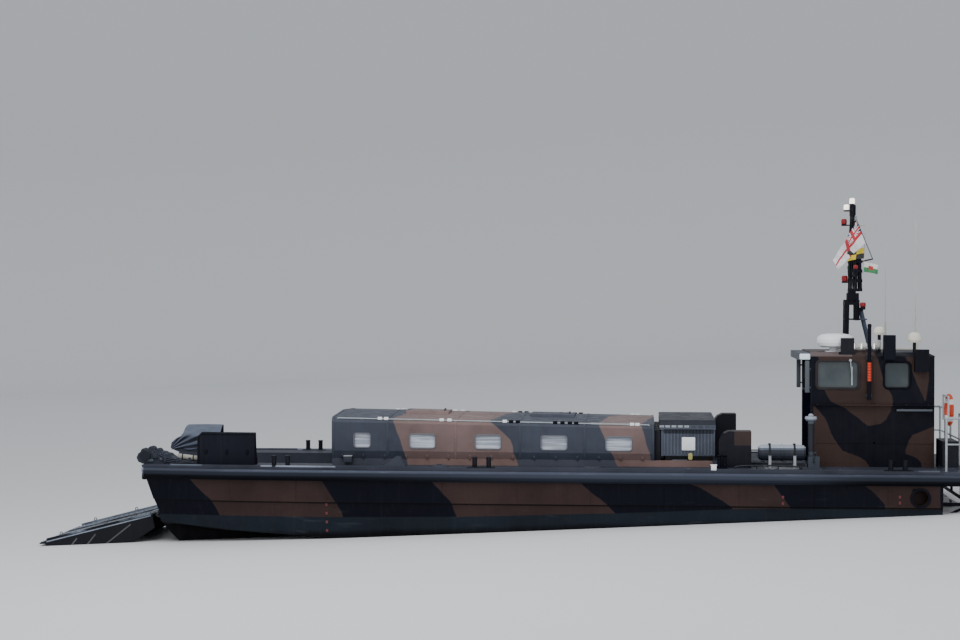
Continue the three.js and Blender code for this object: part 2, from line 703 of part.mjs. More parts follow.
function houseRoof() {
  const half = house.half - gap;
  const bevel = 110;
  const low = house.top + gap;
  const slab = alongX([
    [-half, low], [half, low], [half, low + 20], [half - bevel, roofTopZ], [-half + bevel, roofTopZ], [-half, low + 20],
  ], house.front - 10, house.back + 10);
  const aftCorner = acrossY([[house.back - 150, roofTopZ + 10], [house.back + 40, roofTopZ + 10],
    [house.back + 40, low - 1], [house.back, low + 20]], -2000, 2000);
  const visor = alongX(roundedRectangle(-1000, 1000, 3720, 3850, 25), house.front - 230, house.front - gap);
  const bar = block(5500, 5990, -900, -860, roofTopZ - 5, roofTopZ + 40);
  const lamps = [5560, 5690, 5930].map((x) => join(
    rod([x, -880, roofTopZ + 30], [x, -880, roofTopZ + 70], 14, 8),
    rod([x - 50, -880, roofTopZ + 115], [x + 50, -880, roofTopZ + 115], 68, 14, 50),
  ));
  const box = block(5240, 5490, -1010, -955, 3815, 4140);
  const domes = domeTable.map(({ x, foot, radius, height }) => join(
    rod([x, -800, roofTopZ - 10], [x, -800, foot + 10], 32, 10),
    turned([[0, 0], [radius * 0.92, 0], [radius, height * 0.25], [radius * 0.85, height * 0.7],
      [radius * 0.5, height * 0.95], [0, height]], 18).translate([x, -800, foot]),
  ));
  return join(cut(slab, aftCorner), visor, bar, lamps, box, domes);
}

function helmConsole() {
  return acrossY([[4790, standZ], [5250, standZ], [5250, 2500], [5080, 2700], [4790, 2780]], -750, 750);
}

function helmSeats() {
  const plinth = block(5650, 6150, -620, 620, standZ, deckZ + 450);
  const seats = [-1, 1].flatMap((side) => [
    block(5600, 6100, side * 360 - 240, side * 360 + 240, deckZ + 440, deckZ + 560),
    block(6060, 6170, side * 360 - 230, side * 360 + 230, deckZ + 440, deckZ + 1150),
  ]);
  return join(plinth, seats);
}

// Mast, radar and aerials

// Two thick legs a side stand up to the hinge cheeks, with a raking stay behind them.
function mastFoot() {
  const { x, z } = mastHinge;
  const foot = roofTopZ + gap;
  const y = 125;
  const legs = [-y, y].flatMap((at) => [
    rod([x - 130, at, foot], [x - 115, at, z - 40], 48, 10),
    rod([x + 78, at, foot + 590], [x + 78, at, z - 40], 48, 10),
    rod([x + 350, at, foot], [x + 150, at, z - 200], 32, 8),
    block(x - 200, x - 60, at - 65, at + 65, foot, foot + 30),
    block(x + 280, x + 420, at - 60, at + 60, foot, foot + 30),
  ]);
  const shelf = block(x - 160, x + 265, -y - 60, y + 60, foot + 600, foot + 625);
  const head = block(x - 165, x + 105, -y - 45, y + 45, z - 140, z - 80);
  const cheeks = [-1, 1].map((side) =>
    block(x - 105, x + 115, side * 95 - 15, side * 95 + 15, z - 100, z + 90));
  const pin = rod([x, -125, z], [x, 125, z], 20, 16);
  const lamp = join(
    block(x + 60, x + 190, -215, -120, z - 245, z - 225),
    rod([x + 180, -205, z - 230], [x + 180, -205, z - 100], 50, 12),
  );
  return cut(join(legs, shelf, head, cheeks, pin, lamp), block(4000, 7000, -500, 500, 3000, foot));
}

const halyard = { top: [70, -110, 1490], foot: [375, -110, 750] };
const flag = { fly: 850, thickness: 14, start: 0.02, share: 0.56 };

// The folding upper mast stands on its hinge, at its own origin.
function mastUpper() {
  const lights = [
    { dx: -120, z: 1700, r: 42, h: 100 },
    { dx: -165, z: 1420, r: 45, h: 105 },
    { dx: -150, z: 310, r: 48, h: 110 },
  ];
  const arms = lights.map(({ dx, z, r, h }) => join(
    block(dx, 0, -16, 16, z - 22, z),
    rod([dx, 0, z - 24], [dx, 0, z + 6], r + 8, 12),
    rod([dx, 0, z], [dx, 0, z + h], r, 12),
  ));
  const root = cut(join(block(-40, 40, -70, 70, -35, 130), block(-88, 60, -70, 70, 40, 130)),
    rod([0, -200, 0], [0, 200, 0], 20.8, 16));
  const posts = [-45, 50, 145].map((x) => rod([x, 0, 122], [x * 0.85, 0, 880], 44, 10));
  const webs = [150, 330, 520, 700, 870].map((z) => block(-88, 185, -62, 62, z - 28, z + 28));
  const topmast = rod([0, 0, 850], [-10, 0, 1830], 52, 12, 46);
  const topLight = rod([-10, 0, 1820], [-10, 0, 1930], 42, 12);
  const yards = [{ z: 430, half: 620 }, { z: 1600, half: 300 }].flatMap(({ z, half }) => [
    rod([0, -half, z], [0, half, z], 26, 8),
    ...[-1, 1].map((side) => rod([0, side * half * 0.9, z], [0, side * half * 0.9, z + 190], 32, 8)),
  ]);
  const gaff = rod([0, 0, 1420], [halyard.top[0], halyard.top[1], halyard.top[2] + 20], 14, 8);
  const cleat = rod([150, 0, 700], halyard.foot, 14, 8);
  const line = rod(halyard.top, halyard.foot, 7, 6);
  return join(root, posts, webs, topmast, topLight, arms, yards, gaff, cleat, line);
}

// The ensign blows forward and down from the halyard in three folds.
function ensign() {
  const a = new THREE.Vector3(...halyard.top);
  const b = new THREE.Vector3(...halyard.foot);
  const down = b.clone().sub(a).normalize();
  const away = new THREE.Vector3(-0.69, -0.22, -0.7).normalize();
  const across = 12;
  const along = 5;
  const clear = 8;
  const at = (u, v, lift) => {
    const wave = 60 * Math.sin(u * 3 * Math.PI + v * 1.2) * Math.min(1, u * 3);
    const sag = 60 * u * u;
    return a.clone()
      .addScaledVector(down, (flag.start + v * flag.share) * a.distanceTo(b))
      .addScaledVector(away, clear + u * flag.fly)
      .add(new THREE.Vector3(0, wave + lift, -sag));
  };
  const points = [];
  for (const lift of [-flag.thickness / 2, flag.thickness / 2]) {
    for (let i = 0; i <= across; i++) {
      for (let j = 0; j <= along; j++) points.push(...at(i / across, j / along, lift).toArray());
    }
  }
  const row = along + 1;
  const layer = (across + 1) * row;
  const faces = [];
  const quad = (p, q, r, s) => faces.push(p, q, r, p, r, s);
  for (let i = 0; i < across; i++) {
    for (let j = 0; j < along; j++) {
      const k = i * row + j;
      quad(k, k + row, k + row + 1, k + 1);
      quad(layer + k, layer + k + 1, layer + k + row + 1, layer + k + row);
    }
    const low = i * row;
    const high = low + along;
    quad(low, layer + low, layer + low + row, low + row);
    quad(high, high + row, layer + high + row, layer + high);
  }
  for (let j = 0; j < along; j++) {
    const end = across * row + j;
    quad(j, j + 1, layer + j + 1, layer + j);
    quad(end, layer + end, layer + end + 1, end + 1);
  }
  const geometry = new THREE.BufferGeometry();
  geometry.setAttribute('position', new THREE.Float32BufferAttribute(points, 3));
  geometry.setIndex(faces);
  return solidOf(geometry);
}

function radar() {
  const x = 5170;
  const y = -600;
  const dome = turned([[0, 0], [250, 0], [322, 30], [345, 90], [345, 155], [322, 210], [262, 246], [150, 262],
    [0, 266]], 28);
  return join(
    dome.translate([x, y, roofTopZ + 85]),
    rod([x, y, roofTopZ + 5], [x, y, roofTopZ + 100], 110, 12),
    block(x - 180, x + 180, y - 180, y + 180, roofTopZ + gap, roofTopZ + 14),
  );
}

// Two whip aerials on one base rail.
function whipAerials() {
  const y = 840;
  const whips = [{ x: 6300, top: 6050 }, { x: 6890, top: 6440 }].flatMap(({ x, top }) => [
    rod([x, y, roofTopZ + 10], [x, y, roofTopZ + 250], 60, 12, 50),
    rod([x, y, roofTopZ + 200], [x, y, roofTopZ + 560], 22, 8, 18),
    rod([x, y, roofTopZ + 500], [x, y, top], 12, 6, 6),
  ]);
  return join(block(6120, 6950, y - 70, y + 70, roofTopZ + gap, roofTopZ + 20), whips);
}

// Stern

const sternRailX = 7530;
const buoy = { postX: 7115, y: -1500, z: 2820, ring: 250, tube: 50 };

// The guard rail round the platform, with a taller frame for the lifebuoy on the port side.
function sternRail() {
  const x = sternRailX;
  const front = 7080;
  const y = 1850;
  const top = 2680;
  const made = [-1, 1].flatMap((side) => [
    bars([[front, side * y, standZ], [front, side * y, top], [x, side * y, top], [x, side * 520, top],
      [x, side * 520, standZ]], 21),
    bars([[front, side * y, 2200], [x, side * y, 2200], [x, side * 520, 2200]], 16),
    rod([x, side * y, standZ], [x, side * y, top], 21),
    rod([x, side * 1180, standZ], [x, side * 1180, top], 21),
  ]);
  const frame = bars([[buoy.postX, -y, 2660], [buoy.postX, -y, 3080], [buoy.postX, -1230, 3080],
    [buoy.postX, -1230, 2640], [buoy.postX, -y, 2640]], 18);
  return join(made, rod([x, -520, 2200], [x, 520, 2200], 16), frame);
}

function lifebuoy() {
  const ring = new THREE.TorusGeometry(buoy.ring, buoy.tube, 10, 28).rotateY(Math.PI / 2);
  return solidOf(ring.translate(buoy.postX + 18 + gap + buoy.tube * 0.951, buoy.y, buoy.z));
}

// Waterjets

function waterjet() {
  const profile = [[0, 0], [280, 0], [280, 40], [235, 45], [185, 190], [150, 190], [150, 90], [0, 90]];
  const body = turned(profile, 24).rotate([0, 90, 0]);
  const reach = jet.pivotX - transomX;
  const ears = [-1, 1].map((side) => {
    const z0 = Math.min(side * 206, side * 222);
    return block(60, reach + 30, -45, 45, z0, z0 + 16);
  });
  return join(body, ears).translate([gap, 0, 0]);
}

// The steering nozzle, with its reversing bucket raised above the outlet.
function steeringNozzle() {
  const tube = cut(
    rod([20, 0, 0], [270, 0, 0], 178, 20, 150),
    rod([10, 0, 0], [290, 0, 0], 160, 20, 125),
  );
  const tabs = [-1, 1].flatMap((side) => [
    block(-30, 80, -25, 25, Math.min(side * 168, side * 190), Math.max(side * 168, side * 190)),
    rod([0, 0, side * 185], [0, 0, side * 205.4], 20, 12),
    block(95, 140, Math.min(side * 150, side * 168), Math.max(side * 150, side * 168), 0, 260),
  ]);
  const bucket = cut(
    rod([60, -170, 80], [60, 170, 80], 200, 18),
    rod([60, -150, 80], [60, 150, 80], 182, 18),
    block(-300, 400, -300, 300, -300, 205),
    block(-300, 90, -300, 300, -300, 500),
  );
  return join(tube, tabs, bucket);
}

// Assembly
place('hull', makeHull(), paint.black);
place('centre_keel', centreKeel(), paint.bottom);
place('stern_platform', sternPlatformWithLocker(), paint.grey);
place('jet_guard', jetGuard(), paint.black);
place('well_floor', wellFloor(), paint.grey);
for (const [name, side] of Object.entries(sides)) {
  place(`bilge_keel_${name}`, bilgeKeel(side), paint.bottom);
  place(`rub_rail_${name}`, rubRail(side), paint.fender);
  place(`toe_rail_${name}`, toeRail(side), paint.grey);
  place(`bench_${name}`, bench(side), paint.seat);
  place(`ramp_gear_${name}`, rampGear(side), paint.black);
  place(`bow_screen_${name}`, bowScreen(screenTable[name]), paint.black);
  place(`canopy_glazing_${name}`, canopyGlazing(side), paint.glass);
  place(`engine_vent_${name}`, engineVent(name), paint.black);
  place(`wheelhouse_side_${name}`, houseSide(side), paint.brown);
  place(`waterjet_${name}`, waterjet(), paint.bare, { x: transomX, y: side * jet.y, z: jet.z });
  place(`steering_nozzle_${name}`, steeringNozzle(), paint.bare, { x: jet.pivotX, y: side * jet.y, z: jet.z });
}
place('screen_cover', screenCover(), paint.fender);
place('rolled_mat', rolledMat(), paint.cloth, {
  x: (lowCover.front + lowCover.aft) / 2,
  y: mat.y,
  z: (lowCover.frontZ + lowCover.aftZ) / 2 + 2 * gap,
  turnY: Math.atan2(lowCover.frontZ - lowCover.aftZ, lowCover.aft - lowCover.front),
});
place('ramp_hinge', rampHinge(), paint.bare);
place('ramp', rampLeaf(), paint.black, { x: ramp.x, z: ramp.z, turnY: -ramp.drop * deg });
canopyTable.forEach((row, i) => {
  place(`canopy_section_${i + 1}`, canopySection(row), i % 2 ? paint.brown : paint.grey);
});
for (const row of hatchTable) place(row.name, canopyHatch(row), paint.grey);
place('canopy_frame', canopyFrame(), paint.brown);
place('air_intake', airIntake(), paint.grey);
place('engines', engines(), paint.bare);
place('engine_hatch', engineHatch(), paint.grey);
place('liferaft', raftCanister(), paint.grey);
place('liferaft_cradle', raftCradle(), paint.bare);
place('winch_post', winchPost(), paint.grey);
place('wheelhouse_front', houseFront(), paint.black);
place('wheelhouse_back', houseBack(), paint.black);
place('wheelhouse_door', houseDoor(), paint.black);
place('wheelhouse_glazing', houseGlazing(), paint.glass);
place('wheelhouse_roof', houseRoof(), paint.brown);
place('helm_console', helmConsole(), paint.black);
place('helm_seats', helmSeats(), paint.seat);
place('mast_foot', mastFoot(), paint.black);
place('mast', mastUpper(), paint.black, { x: mastHinge.x, z: mastHinge.z });
place('ensign', ensign(), paint.cloth, { x: mastHinge.x, z: mastHinge.z });
place('radar', radar(), paint.white);
place('whip_aerials', whipAerials(), paint.black);
place('stern_rail', sternRail(), paint.bare);
place('lifebuoy', lifebuoy(), paint.orange);

export default craft;
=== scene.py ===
import bpy
import bmesh
import math
import numpy as np
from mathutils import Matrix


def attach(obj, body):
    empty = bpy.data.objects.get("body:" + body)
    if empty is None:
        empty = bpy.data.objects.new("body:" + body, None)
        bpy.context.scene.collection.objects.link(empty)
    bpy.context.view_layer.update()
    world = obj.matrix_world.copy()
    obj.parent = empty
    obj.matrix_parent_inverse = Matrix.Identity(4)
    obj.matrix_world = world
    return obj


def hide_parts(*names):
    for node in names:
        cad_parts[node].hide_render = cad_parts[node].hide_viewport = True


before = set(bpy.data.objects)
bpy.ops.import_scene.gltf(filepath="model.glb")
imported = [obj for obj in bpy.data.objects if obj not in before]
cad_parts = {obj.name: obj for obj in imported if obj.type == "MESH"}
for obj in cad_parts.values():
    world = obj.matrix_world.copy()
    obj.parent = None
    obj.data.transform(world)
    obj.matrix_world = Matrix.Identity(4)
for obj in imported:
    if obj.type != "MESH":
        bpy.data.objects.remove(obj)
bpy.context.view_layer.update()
print("frame loaded")

axisOrder = {"z": [0, 1, 2], "y": [2, 0, 1], "x": [1, 2, 0]}


# surfaces worked out as arrays
def grid(points, closeU=False, closeV=False):
    # one four-sided face for each cell of a grid of points, joined round where it closes
    nu, nv = points.shape[:2]
    a, b = np.meshgrid(np.arange(nu - (not closeU)), np.arange(nv - (not closeV)), indexing="ij")
    a2, b2 = (a + 1) % nu, (b + 1) % nv
    faces = np.stack([a * nv + b, a2 * nv + b, a2 * nv + b2, a * nv + b2], -1).reshape(-1, 4)
    return points.reshape(-1, 3), faces


def unit(vectors):
    # each vector over its own length
    vectors = np.asarray(vectors, float)
    return vectors / np.maximum(np.linalg.norm(vectors, axis=-1, keepdims=True), 1e-12)


def angles(count):
    # even steps once round
    return np.linspace(0, 2 * np.pi, count, endpoint=False)


def circle(radius, count=12):
    # (r cos t, r sin t)
    return radius * np.stack([np.cos(angles(count)), np.sin(angles(count))], 1)


def softBox(width, height, radius, steps=3):
    # a rectangle whose corners are quarter circles
    t = np.linspace(0, np.pi / 2, steps + 1)
    return np.concatenate([np.stack([sx * (width / 2 - radius) + radius * np.cos(t + k * np.pi / 2),
                                     sy * (height / 2 - radius) + radius * np.sin(t + k * np.pi / 2)], 1)
                           for k, (sx, sy) in enumerate(((1, 1), (-1, 1), (-1, -1), (1, -1)))])


def stood(points, axis, centre):
    # the shape's own z turned to the named axis, and the shape then moved
    placed = np.empty_like(points)
    placed[..., axisOrder[axis]] = points
    return placed + np.asarray(centre, float)


def swept(path, profile, up=(0, 0, 1), closed=False):
    # place(s, t) = path(s) + profile x(t) * side(s) + profile y(t) * lift(s),
    # where side = tangent x up and lift = side x tangent; open ends shrink to a point
    path = np.asarray(path, float)
    ahead = np.roll(path, -1, 0) - np.roll(path, 1, 0) if closed else np.gradient(path, axis=0)
    side = unit(np.cross(unit(ahead), np.asarray(up, float)))
    lift = np.cross(side, unit(ahead))
    spread = profile[:, :1] * side[:, None] + profile[:, 1:] * lift[:, None]
    if not closed:
        path = np.concatenate([path[:1], path, path[-1:]])
        spread = np.concatenate([0 * spread[:1], spread, 0 * spread[:1]])
    return grid(path[:, None] + spread, closeU=closed, closeV=True)


def tube(path, radius, up=(0, 0, 1), sides=10, closed=False):
    # a circle carried along the path
    return swept(path, circle(radius, sides), up, closed)


def rod(a, b, radius, sides=12):
    # a circle carried straight from a to b
    ends = np.array([a, b], float)
    up = (1, 0, 0) if abs(unit(ends[1] - ends[0])[2]) > 0.9 else (0, 0, 1)
    return tube(ends, radius, up, sides)


def rounded(points, cuts=3):
    # each pass swaps a corner for points a quarter and three quarters of the way along its sides
    p = np.asarray(points, float)
    for _ in range(cuts):
        mixed = np.stack([0.75 * p[:-1] + 0.25 * p[1:], 0.25 * p[:-1] + 0.75 * p[1:]], 1).reshape(-1, 3)
        p = np.concatenate([p[:1], mixed, p[-1:]])
    return p


def slab(centre, size, edge=0.006, corner=None, axis="z"):
    # a soft-cornered rectangle carried through the slab's thickness, drawn in by the edge
    # radius at both faces: outline less inset(t), at height(t) for t in a quarter circle
    dims = np.array(size)[axisOrder[axis]]
    corner = edge if corner is None else corner
    t = np.linspace(0, np.pi / 2, 4)
    inset, rise = edge * (1 - np.sin(t)), dims[2] / 2 - edge * (1 - np.cos(t))
    levels = zip(np.concatenate([inset, inset[::-1]]), np.concatenate([-rise, rise[::-1]]))
    rings = np.stack([np.insert(softBox(dims[0] - 2 * gap, dims[1] - 2 * gap, max(corner - gap, 0.0005)),
                                2, level, 1) for gap, level in levels])
    ends = rings[[0, -1]] * [0, 0, 1]
    return grid(stood(np.concatenate([ends[:1], rings, ends[1:]]), axis, centre), closeV=True)


def turned(profile, origin, axis="z", count=24):
    # place(t, k) = origin + (radius k cos t, radius k sin t, height k), along the named axis
    t = angles(count)
    r, h = np.asarray(profile, float).T[..., None]
    return grid(stood(np.stack([r * np.cos(t), r * np.sin(t), h + 0 * t], -1), axis, origin), closeV=True)


def disc(radius, top, origin, axis="z", count=20, bottom=0):
    # a plain round plate from its bottom level to its top one
    return turned([(0, bottom), (radius, bottom), (radius, top), (0, top)], origin, axis, count)


def repeated(surface, offsets):
    # the same surface at each offset
    verts, faces = surface
    starts = np.arange(len(offsets))[:, None, None] * len(verts)
    return (verts + np.asarray(offsets, float)[:, None]).reshape(-1, 3), (faces + starts).reshape(-1, 4)


def mirrored(*surfaces):
    # each surface of the port side, and its mirror image to starboard
    return [side for verts, faces in surfaces for side in ((verts, faces), (verts * [1, -1, 1], faces))]


def studs(places, radius=0.012, height=0.008, axis="y", way=-1):
    # domes of the given height on a short round foot
    t = np.linspace(0, np.pi / 2, 4)
    dome = np.stack([radius * np.cos(t), height * np.sin(t)], 1)
    verts, faces = turned([(0, -0.004), (radius, -0.004), *dome], (0, 0, 0), axis, 8)
    return repeated((verts * np.where(np.arange(3) == "xyz".index(axis), way, 1), faces), places)


def leaned(surface, angle, origin):
    # turned about +Y by the angle and then moved: x' = x cos a + z sin a, z' = z cos a - x sin a
    c, s = math.cos(angle), math.sin(angle)
    return surface[0] @ np.array([(c, 0, -s), (0, 1, 0), (s, 0, c)]) + np.asarray(origin, float), surface[1]


def eye(centre, radius, thickness, axis="y"):
    # a ring standing on the plane that its axis crosses
    path = stood(np.insert(circle(radius, 20), 2, 0, 1), axis, centre)
    return tube(path, thickness, np.eye(3)["xyz".index(axis)], 8, True)


sewing = {"depth": 0.007, "width": 0.045, "roundness": 0.36}


def cushion(centre, size, crown, pinch, channels, axis="z"):
    # a flat-backed pad: sides drawn in between the corners by pinch * (1 - other^2), top raised by
    # crown * (1 - a^2) * (1 - b^2) and sunk along the sewn channels
    a = np.tanh(np.linspace(-3.2, 3.2, 41))[:, None]
    a = a / a.max()
    b, h = (np.sign(v) * np.abs(v) ** sewing["roundness"] + 0 * a for v in circle(1, 56).T)
    end = np.maximum(1 - np.abs(a) ** 14, 0) ** 0.4
    b, h = b * (0.9 + 0.1 * end) * (end > 0), h * end
    along = a * size[0] / 2 * (1 - pinch * (1 - b ** 2))
    across = b * size[1] / 2 * (1 - pinch * (1 - a ** 2))
    swell = crown * (1 - a ** 2) * np.maximum(1 - b ** 2, 0)
    for spot in channels:
        seam = np.exp(-((b - spot) / sewing["width"]) ** 2) * np.maximum(1 - a ** 6, 0)
        swell = swell - sewing["depth"] * seam
    up = h * size[2] / 2 + np.where(h > 0, swell * np.minimum(h * 1.5, 1), 0)
    local = [along, across, up] if axis == "z" else [up, across, along]
    return grid(np.stack(local, -1) + np.asarray(centre, float), closeV=True)


def newObject(name, points, faces, material):
    mesh = bpy.data.meshes.new(name)
    mesh.from_pydata(points.tolist(), [], faces.tolist())
    mesh.polygons.foreach_set("use_smooth", [True] * len(mesh.polygons))
    mesh.materials.append(material)
    obj = bpy.data.objects.new(name, mesh)
    bpy.context.scene.collection.objects.link(obj)
    return obj


def piece(name, surfaces, finish, body="craft", smooth=40):
    # joins the surfaces into one mesh in place, closes seams and poles and turns faces outwards
    surfaces = surfaces if isinstance(surfaces, list) else [surfaces]
    starts = np.cumsum([0] + [len(verts) for verts, _ in surfaces])
    obj = newObject(name, np.concatenate([verts for verts, _ in surfaces]),
                    np.concatenate([faces + n for (_, faces), n in zip(surfaces, starts)]), finishes[finish])
    made = bmesh.new()
    made.from_mesh(obj.data)
    bmesh.ops.remove_doubles(made, verts=made.verts, dist=2e-5)
    bmesh.ops.recalc_face_normals(made, faces=made.faces)
    made.to_mesh(obj.data)
    made.free()
    obj.data.set_sharp_from_angle(angle=math.radians(smooth))
    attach(obj, body)
    return obj


# finishes
def linear(colour):
    # a display colour with its power curve undone; a socket goes through as it is
    if isinstance(colour, bpy.types.NodeSocket):
        return colour
    c = np.array(colour) / 255
    return tuple(np.where(c < 0.04045, c / 12.92, ((c + 0.055) / 1.055) ** 2.4)) + (1.0,)


class Nodes:
    # a small hand for wiring one material

    def __init__(self, name):
        self.material = bpy.data.materials.new(name)
        self.material.use_nodes = True
        self.tree = self.material.node_tree
        self.shader = self.tree.nodes["Principled BSDF"]
        self.coords = self.put("TexCoord").outputs["Object"]
        self.x, self.y, self.z = self.put("SeparateXYZ", {"Vector": self.coords}).outputs

    def fill(self, node, values):
        for key, value in values.items():
            if isinstance(value, bpy.types.NodeSocket):
                self.tree.links.new(value, node.inputs[key])
            else:
                node.inputs[key].default_value = value

    def put(self, kind, values={}, **settings):
        made = self.tree.nodes.new("ShaderNode" + kind)
        for key, value in settings.items():
            setattr(made, key, value)
        self.fill(made, values)
        return made

    def math(self, operation, *values):
        return self.put("Math", dict(enumerate(values)), operation=operation).outputs[0]

    def plus(self, a, b):
        return self.math("ADD", a, b)

    def minus(self, a, b):
        return self.math("SUBTRACT", a, b)

    def times(self, a, b):
        return self.math("MULTIPLY", a, b)

    def size(self, value):
        return self.math("ABSOLUTE", value)

    def near(self, value, middle, half):
        # 1 where the value lies no further than half from the middle
        return self.math("COMPARE", value, middle, half)

    def mix(self, share, a, b):
        return self.put("Mix", {0: share, 6: linear(a), 7: linear(b)}, data_type="RGBA").outputs[2]

    def ramp(self, value, low, high, toLow=0.0, toHigh=1.0):
        values = {"Value": value, "From Min": low, "From Max": high, "To Min": toLow, "To Max": toHigh}
        return self.put("MapRange", values, interpolation_type="SMOOTHSTEP").outputs[0]

    def noise(self, scale, detail=4.0, stretch=(1, 1, 1)):
        spread = self.put("Mapping", {"Vector": self.coords, "Scale": stretch}).outputs[0]
        values = {"Vector": spread, "Scale": scale, "Detail": detail, "Roughness": 0.55}
        return self.put("TexNoise", values).outputs["Fac"]

    def cloud(self, scale, detail, low, high, toLow=0.0, toHigh=1.0, stretch=(1, 1, 1)):
        return self.ramp(self.noise(scale, detail, stretch), low, high, toLow, toHigh)

    def wave(self, scale, direction="X", distortion=0.0, coords=None):
        values = {"Vector": coords or self.coords, "Scale": scale, "Distortion": distortion}
        return self.put("TexWave", values, bands_direction=direction).outputs["Fac"]

    def bump(self, height, strength, distance, under=None):
        values = {"Height": height, "Strength": strength, "Distance": distance}
        return self.put("Bump", values | ({"Normal": under} if under else {})).outputs[0]

    def repaint(self, tone, zones):
        # each zone repaints a box of space: its low corner, its high corner and its colour
        for low, high, colour in zones:
            share = 1.0
            for value, start, end in zip((self.x, self.y, self.z), low, high):
                share = self.times(share, self.near(value, (start + end) / 2, (end - start) / 2))
            tone = self.mix(share, tone, colour)
        return tone

    def edge(self, points, along):
        # the edge's place at each value along it, read off a curve through its points
        spots = np.array(sorted(points))
        low, high = spots.min(0) - (0, 0.01), spots.max(0) + (0, 0.01)
        share = self.put("MapRange", {"Value": along, "From Min": low[0], "From Max": high[0]}).outputs[0]
        curve = self.put("FloatCurve", {"Value": share})
        line = curve.mapping.curves[0]
        places = (spots - low) / (high - low)
        line.points[0].location, line.points[1].location = places[0], places[-1]
        for place in places[1:-1]:
            line.points.new(*place)
        for point in line.points:
            point.handle_type = "VECTOR"
        curve.mapping.update()
        return self.plus(self.times(curve.outputs[0], high[1] - low[1]), low[1])

    def patches(self, table, wobble=0.035, lean=0.0, soft=0.012):
        # inside where x lies between the left and right edges and z between low and high;
        # the edges lean aft across the craft from its port side
        x = self.plus(self.x, self.times(self.minus(self.noise(2.2, 2.0), 0.5), wobble * 3))
        x = self.minus(x, self.times(self.plus(self.y, 1.385), lean))
        z = self.plus(self.z, self.times(self.minus(self.noise(2.9, 2.0, (1, 1, 1.3)), 0.5), wobble * 2))
        whole = 0.0
        for left, right, *limits in table:
            low, high = limits or (-9, 9)
            inside = self.times(self.ramp(self.minus(x, self.edge(left, z)), -soft, soft),
                                self.ramp(self.minus(self.edge(right, z), x), -soft, soft))
            inside = self.times(inside, self.ramp(z, low - soft, low + soft))
            inside = self.times(inside, self.ramp(z, high - soft, high + soft, 1.0, 0.0))
            whole = self.math("MAXIMUM", whole, inside)
        return whole

    def finish(self, colour, roughness, normal=None, specular=0.5, **others):
        self.fill(self.shader, {"Base Color": linear(colour), "Roughness": roughness,
                                "Specular IOR Level": specular} | others | ({"Normal": normal} if normal else {}))
        return self.material


paintTones = {
    "black": (7, 8, 21),
    "brown": (52, 39, 37),
    "deckGrey": (56, 59, 69),
    "canopyGrey": (56, 61, 73),
    "canopyBrown": (112, 93, 90),
    "bootTop": (25, 31, 39),
    # near-black: partly bottom paint, partly painted shade on the underside
    "bottom": (6, 6, 10),
    "salt": (120, 122, 126),
    "dust": (96, 90, 84),
    "cream": (214, 210, 196),
    "lampShell": (190, 190, 184),
}


def weathered(n, colour, dirt=0.35, streak=0.12):
    # broad mottling, run-down streaks and fine grime laid over the paint's colour
    shade = n.times(n.cloud(0.9, 5.0, 0.3, 0.7, 0.82, 1.16), n.cloud(55, 3.0, 0.25, 0.75, 0.93, 1.07))
    stained = n.mix(n.cloud(7.0, 4.0, 0.5, 0.85, 0, streak, (2.4, 2.4, 0.12)), colour, paintTones["dust"])
    dark = n.mix(n.cloud(2.6, 6.0, 0.5, 0.8, 0, dirt), stained, (14, 14, 18))
    return n.put("VectorMath", {0: dark, "Scale": shade}, operation="SCALE").outputs[0]


def paintFinish(name, tone, roughness, dirt, streak, dents=0.25, specular=0.25, zones=(), patches=(),
                patchColour=None, wobble=0.035, lean=0.0):
    n = Nodes(name)
    if patches:
        tone = n.mix(n.patches(patches, wobble, lean), tone, patchColour)
    tone = weathered(n, n.repaint(tone, zones), dirt, streak)
    gloss = n.cloud(6.0, 5.0, 0.3, 0.7, roughness - 0.08, roughness + 0.1)
    ripple = n.bump(n.noise(1.6, 2.0), dents, 0.03)
    return n.finish(tone, gloss, n.bump(n.noise(90, 2.0), 0.12, 0.0015, ripple), specular)


# patches: the left edge and the right edge as (z, x) points from the top down, then lowest and highest z
hullPatches = [
    ([(1.50, -7.14), (1.44, -7.10), (1.32, -7.00), (1.21, -6.90), (1.13, -6.81), (1.06, -6.72),
      (0.91, -6.63), (0.74, -6.56), (0.68, -6.54)], [(1.43, -4.53), (1.10, -4.32), (0.80, -4.15)]),
    ([(1.45, -2.44), (1.08, -2.08), (0.80, -1.98)], [(1.45, 0.35), (1.32, 0.49), (1.05, 0.82), (0.85, 1.02)]),
    ([(1.44, 2.40), (1.40, 2.56), (1.02, 3.15)], [(1.41, 3.94), (1.04, 4.20)]),
    ([(1.44, 5.60), (1.10, 5.95)], [(1.44, 6.95), (1.0, 6.95)]),
]
canopyPatches = [
    ([(2.70, -3.30), (2.54, -3.26), (1.93, -3.04), (1.65, -2.97)],
     [(2.70, -1.45), (2.55, -1.40), (2.20, -1.00), (1.65, -0.86)]),
    ([(2.70, 0.52), (2.53, 0.65), (2.10, 0.84), (1.65, 1.06)],
     [(2.70, 1.42), (2.51, 1.47), (2.05, 1.60), (1.65, 1.68)]),
]
coamingPatches = canopyPatches + [([(1.85, 1.45), (1.65, 1.40)], [(1.85, 2.80), (1.65, 2.84)])]
